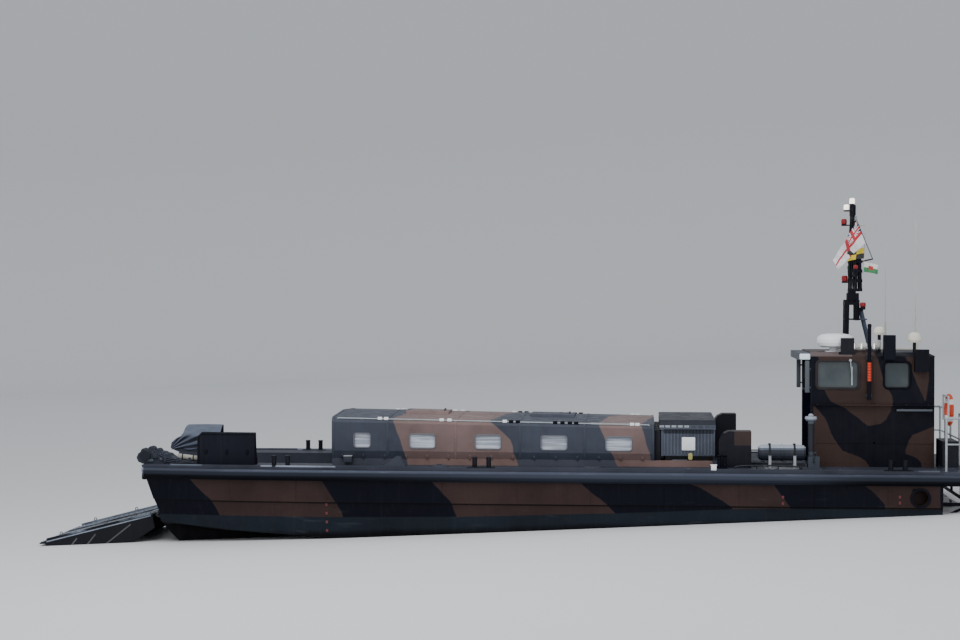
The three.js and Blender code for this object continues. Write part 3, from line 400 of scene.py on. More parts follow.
housePatches = [
    ([(4.0, 4.75), (3.60, 4.86), (3.27, 4.86), (3.17, 4.92), (3.04, 4.98), (2.95, 5.04), (2.89, 5.15),
      (2.82, 5.31), (2.70, 5.46), (2.63, 5.56), (2.55, 5.64), (2.48, 5.74)],
     [(4.0, 5.87), (3.86, 5.89), (3.61, 5.95), (3.44, 6.00), (3.29, 6.06), (3.16, 6.13), (3.05, 6.19),
      (2.93, 6.21), (2.76, 6.17), (2.61, 6.08), (2.52, 5.97), (2.48, 5.80)], 2.48, 9),
    ([(2.84, 4.73), (1.7, 4.73)],
     [(2.84, 4.76), (2.74, 4.85), (2.62, 4.94), (2.51, 5.00), (2.36, 5.05), (2.23, 5.11), (2.10, 5.19),
      (2.00, 5.28), (1.95, 5.41), (1.91, 5.54), (1.87, 5.62), (1.80, 5.71), (1.7, 5.78)], -9, 2.84),
    ([(3.90, 6.40), (3.82, 6.43), (3.65, 6.50), (3.48, 6.58), (3.28, 6.66), (3.11, 6.74), (2.96, 6.81)],
     [(3.90, 6.89), (3.62, 6.89), (3.35, 6.88), (3.11, 6.85), (2.96, 6.83)], 2.96, 3.86),
    ([(2.46, 6.96), (2.43, 6.86), (2.37, 6.71), (2.31, 6.58), (2.22, 6.51), (2.10, 6.47), (2.03, 6.44),
      (1.95, 6.44), (1.92, 6.55), (1.86, 6.66), (1.79, 6.73), (1.7, 6.75)],
     [(2.46, 6.99), (1.7, 6.99)], -9, 2.46),
]
roofPatches = [([(5.0, 4.60), (3.0, 4.60)], [(5.0, 5.87), (3.0, 5.90)])]

hullLines = {
    "boot": [(-8.5, 0.735), (-6.5, 0.745), (-4.4, 0.75), (-1.9, 0.785), (-0.03, 0.85), (1.1, 0.885),
             (2.5, 0.95), (3.3, 0.985), (4.0, 1.0), (7.1, 1.008)],
    "chine": [(-8.5, 0.70), (-7.5, 0.57), (-6.3, 0.46), (-4.6, 0.36), (-1.5, 0.33), (7.1, 0.33)],
    "knuckleShadow": 1.026, "knuckleShadowHalf": 0.016, "deckEdge": 1.633, "deck": 1.694, "wellFloor": 0.755, "wellHalf": 1.1565,
    "darkLineAtOrigin": 0.60, "darkLineRise": 0.036,
}


def hullFinish(v):
    n = Nodes("hullPaint")
    tone = n.mix(n.patches(hullPatches, 0.03), paintTones["black"], paintTones["brown"])
    # the boot-top's upper edge rises to meet the knuckle abreast of the engines
    above = n.minus(n.z, n.edge(v["boot"], n.x))
    tone = n.mix(n.ramp(above, -0.006, 0.006), paintTones["bootTop"], tone)
    # a painted shadow under the knuckle and a grey strip at the deck edge
    tone = n.mix(n.times(n.near(n.z, v["knuckleShadow"], v["knuckleShadowHalf"]), 0.75), tone, (5, 5, 8))
    tone = n.mix(n.ramp(n.z, v["deckEdge"] - 0.003, v["deckEdge"] + 0.003), tone, paintTones["deckGrey"])
    # everything under the chine takes the near-black bottom colour, partly bottom paint and partly painted shade, and
    # the side above it darkens to the same colour below a wavy line rising aft
    under = n.minus(n.z, n.edge(v["chine"], n.x))
    tone = n.mix(n.ramp(under, -0.008, 0.002), paintTones["bottom"], tone)
    wobble = n.times(n.minus(n.noise(1.3, 4.0), 0.5), 0.16)
    darkLine = n.plus(n.plus(n.times(n.x, v["darkLineRise"]), v["darkLineAtOrigin"]), wobble)
    belowDarkLine = n.ramp(n.minus(n.z, darkLine), -0.05, 0.09)
    tone = n.mix(belowDarkLine, paintTones["bottom"], tone)
    # the deck and the well inside take deck grey
    well = n.times(n.ramp(n.z, v["wellFloor"] - 0.005, v["wellFloor"] + 0.005),
                   n.ramp(n.size(n.y), v["wellHalf"] - 0.0015, v["wellHalf"] + 0.0015, 1, 0))
    grey = n.math("MAXIMUM", well, n.ramp(n.z, v["deck"] - 0.002, v["deck"] + 0.002))
    tone = weathered(n, n.mix(grey, tone, paintTones["deckGrey"]), 0.3, 0.06)
    salt = n.times(n.ramp(above, 0.5, -0.1), n.cloud(3.5, 6.0, 0.6, 0.8, 0, 0.1, (0.5, 1, 3)))
    tone = n.mix(salt, tone, paintTones["salt"])
    plating = n.bump(n.wave(0.55, distortion=0.4), 0.16, 0.02)
    ripple = n.bump(n.noise(1.4, 2.0), 0.35, 0.03, plating)
    return n.finish(tone, n.ramp(belowDarkLine, 0.0, 1.0, 0.3, 0.55), n.bump(n.noise(120, 1.0), 0.25, 0.002, ripple), 0.1)


rampPlace = {"x": -7.92, "z": 0.67, "drop": math.radians(14.4), "edgeLevel": 0.04}


def rampFinish(name, side, top, v):
    # pale where the leaf's own height, square to its plate, is over its edges' middle
    n = Nodes(name)
    rise = n.times(n.minus(n.z, v["z"]), math.cos(v["drop"]))
    level = n.minus(rise, n.times(n.plus(n.x, -v["x"]), math.sin(v["drop"])))
    upper = n.mix(n.cloud(3.0, 5.0, 0.38, 0.62, stretch=(0.5, 1, 1)), side, top)
    share = n.ramp(level, v["edgeLevel"] - 0.004, v["edgeLevel"] + 0.004)
    tone = weathered(n, n.mix(share, side, upper), 0.4, 0.08)
    gloss = n.cloud(6.0, 5.0, 0.3, 0.7, 0.36, 0.52)
    return n.finish(tone, gloss, n.bump(n.noise(90, 2.0), 0.12, 0.0015), 0.2)


def deckFinish(name, colour):
    n = Nodes(name)
    tone = n.mix(n.cloud(1.1, 5.0, 0.45, 0.7, 0, 0.35), weathered(n, colour, 0.35, 0.05), paintTones["dust"])
    return n.finish(tone, 0.8, n.bump(n.noise(220, 2.0), 0.5, 0.002), 0.25)


def metalFinish(name, colour, roughness=0.42):
    n = Nodes(name)
    tone = n.mix(n.cloud(5.0, 6.0, 0.42, 0.75, 0.0, 0.5), colour, (86, 88, 92))
    brushed = n.cloud(30, 3.0, 0.3, 0.7, roughness - 0.1, roughness + 0.14, (1, 1, 8))
    return n.finish(tone, brushed, n.bump(n.noise(60, 3.0), 0.15, 0.001), Metallic=0.85)


def rubberFinish(name, colour):
    n = Nodes(name)
    scuff = n.cloud(9, 6.0, 0.5, 0.72, stretch=(0.35, 1, 2.2))
    tone = n.mix(n.times(scuff, 0.3), colour, (98, 102, 110))
    tone = n.mix(n.cloud(1.3, 4.0, 0.45, 0.75, 0, 0.4), tone, (30, 32, 38))
    return n.finish(tone, n.ramp(scuff, 0, 1, 0.62, 0.82), n.bump(n.noise(70, 4.0), 0.35, 0.003), 0.25)


# scuff colour, then painted shade: a dimmer colour for the ends and darker tones below the middle height; and the bow
# tip's colour
fenderWearAndShade = {"middle": 1.56, "scuffed": (104, 108, 118), "dull": (30, 33, 42), "bowTip": (150, 158, 172),
              "middleTones": ((36, 40, 49), (57, 62, 74)), "lowTones": ((5, 6, 12), (34, 38, 48))}


def fenderFinish(name, colour, v):
    # painted shade: dimmed towards the bow and the stern, and darker below its middle height, most towards the bow
    # and the stern and least between; lighter scuffs under it
    n = Nodes(name)
    scuff = n.cloud(9, 6.0, 0.5, 0.72, stretch=(0.35, 1, 2.2))
    tone = n.mix(n.times(scuff, 0.3), colour, v["scuffed"])
    dull = n.math("MAXIMUM", n.ramp(n.x, -6.8, -5.8, 0.35, 0.0), n.ramp(n.x, 4.0, 5.8, 0.0, 0.35))
    tone = n.mix(dull, tone, v["dull"])
    lighterMiddle = n.times(n.ramp(n.x, -5.0, 1.0), n.ramp(n.x, 4.0, 5.8, 1.0, 0.0))
    for low, high, tones in ((0.03, 0.07, v["middleTones"]), (-0.05, 0.01, v["lowTones"])):
        tone = n.mix(n.ramp(n.z, v["middle"] + low, v["middle"] + high), n.mix(lighterMiddle, *tones), tone)
    tone = n.mix(n.ramp(n.x, -8.06, -8.00, 0.8, 0.0), tone, v["bowTip"])
    return n.finish(tone, n.ramp(scuff, 0, 1, 0.6, 0.8), n.bump(n.noise(70, 4.0), 0.35, 0.003), 0.08)


def plasticFinish(name, colour, roughness, dirt, glow=0.0, zones=()):
    n = Nodes(name)
    tone = n.mix(n.cloud(4.0, 6.0, 0.45, 0.75, 0, dirt), n.repaint(colour, zones), (80, 78, 74))
    gloss = n.cloud(8, 4.0, 0.3, 0.7, roughness - 0.06, roughness + 0.12)
    glowing = {"Emission Color": linear(colour), "Emission Strength": glow} if glow else {}
    return n.finish(tone, gloss, n.bump(n.noise(130, 2.0), 0.08, 0.0008), 0.35, **glowing)


def paneFinish(name, colour, roughness, hazed, reflectionBands=0.0):
    n = Nodes(name)
    haze = n.cloud(1.6, 3.0, 0.3, 0.75)
    tone = n.mix(n.times(haze, hazed), colour, (150, 156, 160))
    # pale level bands: painted sky reflection
    tone = n.mix(n.cloud(1.0, 3.0, 0.42, 0.6, 0, reflectionBands, (1.1, 1, 26)), tone, (214, 220, 230))
    return n.finish(tone, n.ramp(haze, 0, 1, roughness, roughness + 0.12), n.bump(n.noise(2.0, 2.0), 0.03, 0.003),
                    **{"Coat Weight": 0.3})


def clothFinish(name, colour, thread, sheen):
    n = Nodes(name)
    weave = n.times(n.wave(thread), n.wave(thread, "Z"))
    tone = n.mix(n.cloud(9, 4.0, 0.4, 0.7, 0, 0.3), colour, (60, 60, 56))
    return n.finish(tone, 0.9, n.bump(weave, 0.3, 0.001), **{"Sheen Weight": sheen})


# a painted-light top, painted shadow in the folds, the ridges between them, and faded patches
tarpTones = {"top": (88, 95, 109), "fold": (22, 25, 36), "ridge": (78, 84, 100), "faded": (66, 72, 86)}
tarpFan = {"x": -8.30, "z": 1.74, "folds": 26.0, "wander": 2.4}


def tarpFinish(name, v):
    # painted light and shade: pale where it slopes over the top, darker down the side, with painted shadow in folds
    # fanned out from
    # the forward lower corner: sin(folds * angle + noise)
    n = Nodes(name)
    angle = n.math("ARCTAN2", n.minus(n.z, v["z"]), n.minus(n.x, v["x"]))
    fan = n.math("SINE", n.plus(n.times(angle, v["folds"]), n.times(n.noise(2.2, 3.0), v["wander"])))
    shaded = n.mix(n.ramp(fan, -0.1, 0.5), tarpTones["fold"], tarpTones["ridge"])
    tone = n.mix(n.ramp(n.z, 1.99, 2.09, 1.0, 0.0), tarpTones["top"], shaded)
    tone = n.mix(n.cloud(5, 4.0, 0.4, 0.75, 0, 0.35), tone, tarpTones["faded"])
    return n.finish(tone, 0.85, n.bump(n.wave(200), 0.2, 0.001), 0.25, **{"Sheen Weight": 0.1})


black, brown, cream, deckGrey = (paintTones[key] for key in ("black", "brown", "cream", "deckGrey"))
roofZones = [
    # the brown roof edge is lightened as a painted highlight where it catches the light
    ((4.67, -1.2, 3.70), (5.45, -0.90, 3.95), (90, 78, 77)),
    ((5.2, -1.02, 3.8), (5.52, -0.94, 4.2), black),
    ((5.45, -0.97, 3.92), (6.05, -0.80, 4.1), paintTones["lampShell"]),
    ((5.80, -0.95, 4.195), (6.2, -0.65, 4.5), cream),
    ((6.45, -0.95, 4.05), (6.85, -0.65, 4.5), cream),
    ((4.3, -1.1, 3.70), (4.67, 1.1, 3.86), (64, 68, 78)),
]
houseZones = [((5.98, -1.3, 3.72), (6.28, -1.055, 4.25), black), ((6.56, -1.3, 3.49), (6.90, -1.055, 3.95), black)]
platformZones = [((7.0, -1.6, 1.74), (7.4, -0.6, 2.3), black)]
ventZones = [((3.22, -1.5, 2.12), (3.6, -0.9, 2.5), brown)]
# painted shadow: the near-black band at the intake's foot and the darker band under the lid's lip; the lid's own band
# is darker too
intakeZones = [((1.8, -1.3, 1.6), (3.0, 1.3, 1.897), (12, 12, 16)),
               ((1.90, -1.3, 2.325), (2.84, 1.3, 2.412), (38, 42, 53)),
               ((1.8, -1.3, 2.485), (3.0, 1.3, 2.6), (34, 38, 48))]
toeRailZones = [((x - 0.27, -2.2, 1.712), (x + 0.27, 2.2, 2.2), black) for x in (-5.35, -1.52, 6.20)]
# painted highlights along the deck edge: lighter at the bow and at the stern
toeRailZones += [((-7.6, -2.2, 1.69), (-6.87, 2.2, 1.76), (92, 99, 111)),
                 ((6.55, -2.2, 1.69), (7.3, 2.2, 1.80), (82, 88, 100))]
# and pale painted highlights along the outer edges
toeRailZones += [((start, low, 1.69), (end, low + 0.32, 1.762), (142, 148, 164))
                 for start, end in ((-5.72, -5.50), (-5.43, -4.28)) for low in (-2.24, 1.92)]
mastFootZones = [((5.70, -0.3, 3.885), (6.0, 0.3, 4.64), (62, 70, 84))]
frameZones = [((5.9, -1.2, 3.0), (6.7, 1.2, 3.9), (6, 8, 18))]
winchZones = [((4.3, -1.7, 2.55), (5.0, -1.2, 2.8), (84, 92, 104)),
              ((4.3, -1.7, 1.69), (5.0, -1.2, 2.02), (60, 65, 75))]
# painted shade: the canister darkens in two steps below its lit top
raftShadeZones = [((3.0, -1.9, 1.7), (5.0, -1.1, 2.095), (72, 80, 92)),
             ((3.0, -1.9, 1.7), (5.0, -1.1, 2.06), (30, 35, 47))]
buoyBands = [((7.0, -1.9, z - 0.045), (7.4, -1.1, z + 0.045), (206, 204, 200)) for z in (2.66, 2.98)]
# columns: name, colour, roughness, dirt, streaks, dents, specular, zones, patches and their colour, wobble, lean
paints = [
    # the keels' near-black is partly bottom paint, partly painted shade
    ("bottomPaint", paintTones["bottom"], 0.6, 0.35, 0.06, 0.25, 0.1),
    ("blackPaint", black, 0.5, 0.3, 0.07, 0.25, 0.12),
    ("rampWornEdges", (132, 140, 154), 0.4, 0.5, 0.1),
    ("rampWornBraces", (84, 84, 86), 0.4, 0.5, 0.1),
    ("greyPaint", (54, 58, 70), 0.5, 0.3, 0.12),
    ("platformPaint", (54, 58, 70), 0.5, 0.3, 0.1, 0.25, 0.25, platformZones),
    ("canopyPaint", paintTones["canopyGrey"], 0.5, 0.25, 0.12, 0.3, 0.25, (), canopyPatches,
     paintTones["canopyBrown"], 0.035, 0.16),
    ("wheelhousePaint", black, 0.5, 0.25, 0.06, 0.3, 0.12, houseZones, housePatches, (57, 43, 39), 0.02),
    ("roofPaint", black, 0.5, 0.3, 0.05, 0.2, 0.25, roofZones, roofPatches, brown),
    ("coamingPaint", (60, 63, 74), 0.55, 0.25, 0.1, 0.25, 0.25, (), coamingPatches, (112, 90, 85)),
    ("toeRailPaint", (54, 58, 69), 0.5, 0.3, 0.12, 0.25, 0.25, toeRailZones),
    ("mastFootPaint", black, 0.5, 0.3, 0.1, 0.25, 0.12, mastFootZones),
    ("mastPaint", black, 0.5, 0.3, 0.08, 0.25, 0.12),
    ("frontWallPaint", black, 0.6, 0.3, 0.07, 0.25, 0.0),
    ("screenPaint", (15, 17, 29), 0.5, 0.3, 0.08, 0.25, 0.15),
    ("gearGreyPaint", (42, 46, 57), 0.5, 0.3, 0.1),
    ("ventPaint", black, 0.5, 0.3, 0.1, 0.25, 0.25, ventZones),
    ("intakePaint", (78, 84, 97), 0.5, 0.3, 0.12, 0.25, 0.25, intakeZones),
    ("enginePaint", (110, 112, 112), 0.4, 0.5, 0.1),
    ("windowFrame", (50, 44, 44), 0.6, 0.2, 0.05, 0.1, 0.08, frameZones),
    ("winchPostPaint", (28, 32, 41), 0.5, 0.3, 0.1, 0.25, 0.25, winchZones),
    ("midGreyPaint", (72, 78, 88), 0.5, 0.3, 0.1),
    ("gearPaint", (22, 25, 34), 0.45, 0.3, 0.1),
]
# columns: name, colour, roughness, dirt, glow, zones
plastics = [
    ("raftShell", (150, 156, 168), 0.5, 0.3, 0.0, raftShadeZones),
    ("whiteMoulding", (232, 234, 236), 0.3, 0.1),
    ("aerialSleeve", (196, 196, 180), 0.45, 0.2),
    ("consolePlastic", (30, 31, 34), 0.5, 0.25),
    ("screenGlass", (16, 20, 24), 0.1, 0.05),
    ("lifebuoyShell", (186, 62, 32), 0.5, 0.2, 0.0, buoyBands),
    ("canopyWindowFrame", (104, 105, 113), 0.5, 0.2),
    ("tagPlate", (168, 162, 104), 0.5, 0.4),
    ("strutPaint", (78, 83, 91), 0.5, 0.3),
    ("paleGreyPaint", (160, 166, 170), 0.5, 0.3),
    # near-white pale blue, a painted highlight
    ("paleBluePaint", (228, 246, 252), 0.4, 0.1),
    ("poleStrip", (206, 62, 34), 0.45, 0.2),
    ("greenLens", (30, 104, 60), 0.25, 0.1),
    ("redLens", (132, 16, 24), 0.25, 0.1),
    ("tickPaint", (98, 38, 42), 0.5, 0.3),
    ("litLens", (255, 250, 236), 0.25, 0.0, 1.6),
]
# cloth: name, colour, thread count and sheen; metal: name, colour and roughness; rubber: name and colour;
# panes: name, colour, roughness, haze and bands
cloths = [("seatCover", (44, 48, 42), 260, 0.3), ("rolledMatCloth", (150, 148, 138), 220, 0.2),
          ("ropeFibre", (186, 180, 166), 160, 0.2), ("benchCushion", (36, 40, 36), 180, 0.2)]
metals = [("marineAlloy", (150, 152, 156), 0.42), ("darkFittings", (56, 58, 64), 0.5)]
rubbers = [("strapRubber", (24, 25, 28)), ("gasketRubber", (30, 32, 38))]
# the canopy panes' pale colour is a painted sky reflection
panes = [("canopyPane", (146, 152, 165), 0.16, 0.3, 0.6), ("wheelhousePane", (48, 57, 60), 0.1, 0.1)]
makers = ((paintFinish, paints), (plasticFinish, plastics), (clothFinish, cloths), (metalFinish, metals),
          (rubberFinish, rubbers), (paneFinish, panes), (deckFinish, [("deckPaint", deckGrey)]),
          (rampFinish, [("rampPaint", (17, 18, 25), (120, 130, 144), rampPlace)]),
          (fenderFinish, [("fenderRubber", (66, 71, 84), fenderWearAndShade)]), (tarpFinish, [("tarpaulin", tarpFan)]))
finishes = {row[0]: make(*row) for make, rows in makers for row in rows}
finishes["hullPaint"] = hullFinish(hullLines)
print("finishes ready")

# each finish with the starts of the names of the carried-over parts that take it
partFinishes = {
    "hullPaint": "hull", "bottomPaint": "centre_keel bilge_keel", "platformPaint": "stern_platform",
    "blackPaint": "jet_guard wheelhouse_back wheelhouse_door", "deckPaint": "well_floor engine_hatch",
    "darkFittings": "ramp_hinge", "rampPaint": "ramp", "coamingPaint": "canopy_frame",
    "intakePaint": "air_intake", "enginePaint": "engines", "raftShell": "liferaft",
    "marineAlloy": "liferaft_cradle waterjet steering_nozzle", "winchPostPaint": "winch_post",
    "frontWallPaint": "wheelhouse_front", "wheelhousePane": "wheelhouse_glazing", "roofPaint": "wheelhouse_roof",
    "consolePlastic": "helm_console", "seatCover": "helm_seats", "mastFootPaint": "mast_foot",
    "mastPaint": "mast", "whiteMoulding": "radar ensign", "aerialSleeve": "whip_aerials",
    "paleGreyPaint": "stern_rail", "lifebuoyShell": "lifebuoy", "canopyPaint": "canopy_hatch canopy_section",
    "fenderRubber": "rub_rail", "toeRailPaint": "toe_rail", "greyPaint": "bench", "gearGreyPaint": "ramp_gear",
    "screenPaint": "bow_screen", "canopyPane": "canopy_glazing", "ventPaint": "engine_vent",
    "wheelhousePaint": "wheelhouse_side", "tarpaulin": "screen_cover", "rolledMatCloth": "rolled_mat",
}
startFinish = {start: finish for finish, starts in partFinishes.items() for start in starts.split()}
for partName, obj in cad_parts.items():
    if not obj.material_slots:
        obj.data.materials.append(None)
    for holder in obj.material_slots:
        holder.material = finishes[startFinish[max(filter(partName.startswith, startFinish), key=len)]]
print("carried-over parts painted")


# canopy trim
canopyShape = {"front": -4.45, "aft": 1.72, "baseZ": 1.82, "shoulderZ": 2.61, "drop": 0.11}
canopyOutline = np.array([(1.335, 1.82), (1.385, 1.97), (1.385, 2.52), (1.37, 2.565), (1.33, 2.60), (1.27, 2.615),
                          (0, 2.665)])
canopyWindows = [(-3.86, 0.30), (-2.70, 0.48), (-1.44, 0.48), (-0.18, 0.48), (1.05, 0.48)]  # middle and width


def fall(x):
    # how far the shoulder sinks by x: drop * share of the canopy's length
    return canopyShape["drop"] * (x - canopyShape["front"]) / (canopyShape["aft"] - canopyShape["front"])


def drooped(points):
    # each point sinks by the shoulder's fall * share of its height
    points = np.array(points, float)
    share = np.maximum(points[..., 2] - canopyShape["baseZ"], 0) / (canopyShape["shoulderZ"] - canopyShape["baseZ"])
    points[..., 2] -= fall(points[..., 0]) * share
    return points


def archAt(x, lift=0.0, low=1.82):
    # the canopy's outline from port foot to starboard foot, pushed outwards by lift
    half = canopyOutline.copy()
    half[0] = [1.335 + 0.05 * (low - 1.82) / 0.15, low]
    half += unit(np.stack([np.gradient(half[:, 1]), -np.gradient(half[:, 0])], 1)) * lift
    port = np.insert(half * [-1, 1], 0, x, 1)
    return drooped(np.concatenate([port, port[::-1][1:] * [1, -1, 1]]))


def windowRing(x0, x1, z0, z1, y, corner, grow=0.0):
    # a rounded rectangle upright at the given y, grown on every side
    outline = softBox(x1 - x0 + 2 * grow, z1 - z0 + 2 * grow, corner, 4)
    return np.insert(outline, 1, y, 1) + [(x0 + x1) / 2, 0, (z0 + z1) / 2]


seamValues = {"places": (-4.425, -3.3705, -2.0605, -0.8305, 0.3995, 1.695), "width": 0.05, "thickness": 0.012}
seamProfile = softBox(seamValues["thickness"], seamValues["width"], 0.004, 2)
piece("canopySeamStrips", [swept(archAt(x, 0.001), seamProfile, (1, 0, 0)) for x in seamValues["places"]],
      "canopyPaint", smooth=35)

gasketValues = {"width": 0.018, "thickness": 0.02, "corner": 0.05, "low": 2.045, "high": 2.30, "y": -1.386,
                "gap": 0.008}


def canopyGaskets(v):
    profile = softBox(v["width"], v["thickness"], 0.005, 2)
    rings = [windowRing(x - width / 2, x + width / 2, v["low"] - 0.4 * fall(x), v["high"] - 0.4 * fall(x), v["y"],
                        v["corner"], v["gap"]) for x, width in canopyWindows]
    return mirrored(*[swept(ring, profile, (0, 1, 0), True) for ring in rings])


piece("canopyWindowGaskets", canopyGaskets(gasketValues), "canopyWindowFrame")

latchValues = {"from": -4.25, "to": 1.5, "pitch": 0.41, "y": -1.352, "z": 1.865, "height": 0.085, "width": 0.038}


def canopyLatches(v):
    # a plate with a looped lever over it, at even steps along the foot of each side
    lever = rounded([(-0.012, -0.006, -0.055), (-0.012, -0.024, -0.02), (0, -0.026, 0.035), (0.012, -0.024, -0.02),
                     (0.012, -0.006, -0.055)], 2)
    places = [(x, v["y"], v["z"]) for x in np.arange(v["from"], v["to"], v["pitch"])]
    plate = slab((0, 0, 0), (v["width"], 0.02, v["height"]), 0.003, axis="y")
    return mirrored(*[repeated(part, places) for part in (plate, tube(lever, 0.004, (0, 1, 0), 6))])


piece("canopyLatches", canopyLatches(latchValues), "coamingPaint")

railValues = {"y": -1.352, "z": 2.578, "rise": 0.018, "radius": 0.011, "from": -4.34, "to": 1.62, "stands": 14}


def canopyRails(v):
    feet = drooped([(x, v["y"], v["z"]) for x in np.linspace(v["from"], v["to"], v["stands"])])
    tops = feet + [0, 0, v["rise"]]
    return mirrored(tube(tops, v["radius"], sides=8), *[rod(a, b, 0.008, 8) for a, b in zip(feet, tops)])


piece("canopyGrabRails", canopyRails(railValues), "paleGreyPaint")

clipValues = {
    "pale": (-3.52, -3.40, -2.33, -2.18, -1.12, 1.30, 1.40),
    "dark": (-1.0, -0.87, -0.16, -0.02, 0.12, 0.24),
    "size": (0.085, 0.05, 0.055), "y": -1.345, "z": 2.605,
    "strip": (0.52, 1.25, 12), "stripSize": 0.03, "stripY": -1.352, "stripZ": 2.60,
}


def canopyClips(v, places):
    return mirrored(repeated(slab((0, 0, 0), v["size"], 0.008), drooped([(x, v["y"], v["z"]) for x in places])))


def canopyStrip(v):
    # a flat strip along the shoulder behind the clips
    path = drooped([(x, v["stripY"], v["stripZ"]) for x in np.linspace(*v["strip"])])
    return mirrored(swept(path, softBox(v["stripSize"], v["stripSize"], 0.006)))


piece("canopyRailClips", canopyClips(clipValues, clipValues["pale"]), "whiteMoulding")
piece("canopyRailBlocks", canopyClips(clipValues, clipValues["dark"]), "blackPaint")
piece("canopyRailStrip", canopyStrip(clipValues), "paleGreyPaint")

hatchValues = {"canopy_hatch_forward": (-3.15, -2.30), "canopy_hatch_aft": (-0.68, 0.17)}


def hatchFittings(v):
    # a grab bar across each hatch's after edge and two hinge barrels at its forward edge
    hinges = []
    for hatch, (front, after) in v.items():
        x, z = after - 0.1, drooped([after, 0, 2.70])[2] + 0.005
        path = rounded([(x, -0.12, z), (x, -0.12, z + 0.04), (x, 0.12, z + 0.04), (x, 0.12, z)], 2)
        feet = mirrored(slab((x, -0.12, z), (0.05, 0.05, 0.012), 0.003))
        piece(hatch.replace("_", "") + "Grip", [tube(path, 0.009, (1, 0, 0), 8)] + feet, "darkFittings",
              hatch)
        x, z = front - 0.012, drooped([front, 0, 2.655])[2] - 0.25 ** 2 / 1.27 * 0.04
        hinges += mirrored(rod((x, -0.30, z), (x, -0.20, z), 0.011))
    piece("canopyHatchHinges", hinges, "darkFittings")


hatchFittings(hatchValues)
print("canopy trimmed")


# air intake, engine vents and engine hatch
lidValues = {"pale": (1.86, 1.97, 2.09, 2.21, 2.33), "plain": (2.46, 2.59, 2.72, 2.82), "y": -1.272, "z": 2.462}


def intakeLidClips(v, xs):
    y, z = v["y"] - 0.01, v["z"] + 0.014
    parts = (slab((0, v["y"], v["z"]), (0.085, 0.014, 0.04), 0.004, axis="y"),
             rod((-0.018, y, z), (0.018, y, z), 0.006, 8))
    return mirrored(*[repeated(part, [(x, 0, 0) for x in xs]) for part in parts])


piece("intakeLidClips", intakeLidClips(lidValues, lidValues["pale"]), "paleGreyPaint")
piece("intakeLidCatches", intakeLidClips(lidValues, lidValues["plain"]), "midGreyPaint")

gapFillValues = {"x": 1.7845, "z": 2.04, "size": (0.121, 2.40, 0.68), "ribs": (-1.1, 1.1, 6)}


def intakeGapFill(v):
    # a closed dark block filling the gap between the canopy's end and the intake, partly a dark fill standing in for
    # the shade there, with a stiffener at even steps across it
    x, z, (length, width, height) = v["x"], v["z"], v["size"]
    rib = slab((x, 0, z + height / 2 + 0.004), (length - 0.02, 0.03, 0.012), 0.003)
    return [slab((x, 0, z), (length, width, height), 0.01),
            repeated(rib, [(0, y, 0) for y in np.linspace(*v["ribs"])])]


piece("intakeGapFill", intakeGapFill(gapFillValues), "gearPaint")
# each: centre and size
plateValues = {"foot": ((2.20, -1.262, 1.795), (0.29, 0.04, 0.075)),
               "sign": ((2.365, -1.272, 2.135), (0.25, 0.014, 0.25)),
               "tag": ((2.40, -1.274, 1.895), (0.08, 0.012, 0.13)), "signCorner": 0.012, "tagCorner": 0.03}
piece("intakeFootBlocks", mirrored(slab(*plateValues["foot"])), "midGreyPaint")
piece("intakeSign", slab(*plateValues["sign"], 0.003, plateValues["signCorner"], "y"), "whiteMoulding")
piece("intakeTag", slab(*plateValues["tag"], 0.003, plateValues["tagCorner"], "y"), "tagPlate")

# each hood: its sign across the craft, its mouth's x and its highest slat
ventValues = {"slats": 9, "low": 1.95, "hoods": ((-1, 3.502, 2.25), (1, 3.332, 2.43)), "y": 1.2, "half": 0.155}


def ventSlats(v):
    # slats across each hood's mouth, which faces aft
    profile = softBox(0.045, 0.006, 0.002, 1) @ np.array([[0.8, 0.6], [-0.6, 0.8]])
    return [repeated(swept([(x, way * v["y"] - v["half"], 0), (x, way * v["y"] + v["half"], 0)], profile),
                     [(0, 0, z) for z in np.linspace(v["low"], high, v["slats"])]) for way, x, high in v["hoods"]]


piece("ventSlats", ventSlats(ventValues), "blackPaint")
print("intake and vents trimmed")


# liferaft and hand winch
strapValues = {"places": (3.87, 4.33), "width": 0.035, "radius": 0.155, "y": -1.5, "z": 2.0}


def raftStraps(v):
    made = []
    for x in v["places"]:
        path = np.insert(circle(v["radius"], 40), 0, x, 1) + [0, v["y"], v["z"]]
        made += [swept(path, softBox(0.008, v["width"], 0.002, 1), (1, 0, 0), True),
                 slab((x, v["y"], v["z"] + v["radius"] + 0.008), (0.05, 0.06, 0.02), 0.004)]
    return made


piece("raftStraps", raftStraps(strapValues), "strapRubber")

winchValues = {"centre": (4.68, -1.48, 1.83), "turns": 9, "coil": 0.101, "wire": 0.008, "halfLength": 0.085}


def winchParts(v):
    # wire wound on the drum as a helix, cheeks each side and a crank, about the drum's centre
    t = np.linspace(0, 2 * np.pi * v["turns"], 18 * v["turns"])
    coil = np.stack([v["coil"] * np.cos(t), v["halfLength"] * (2 * t / t[-1] - 1), v["coil"] * np.sin(t)], 1)
    cheek = [(0, -0.006), (0.118, -0.006), (0.122, 0), (0.118, 0.006), (0, 0.006)]
    crank = rounded([(0, -0.15, 0), (0, -0.19, 0), (0.02, -0.19, 0.19), (0.02, -0.29, 0.19)], 2)
    made = [tube(coil, v["wire"], (0, 1, 0), 6), tube(crank, 0.012, (1, 0, 0), 8),
            rod((0.02, -0.21, 0.19), (0.02, -0.31, 0.19), 0.02)]
    made += [turned(cheek, (0, y, 0), "y") for y in (-0.108, 0.108)]
    return [repeated(part, [v["centre"]]) for part in made]


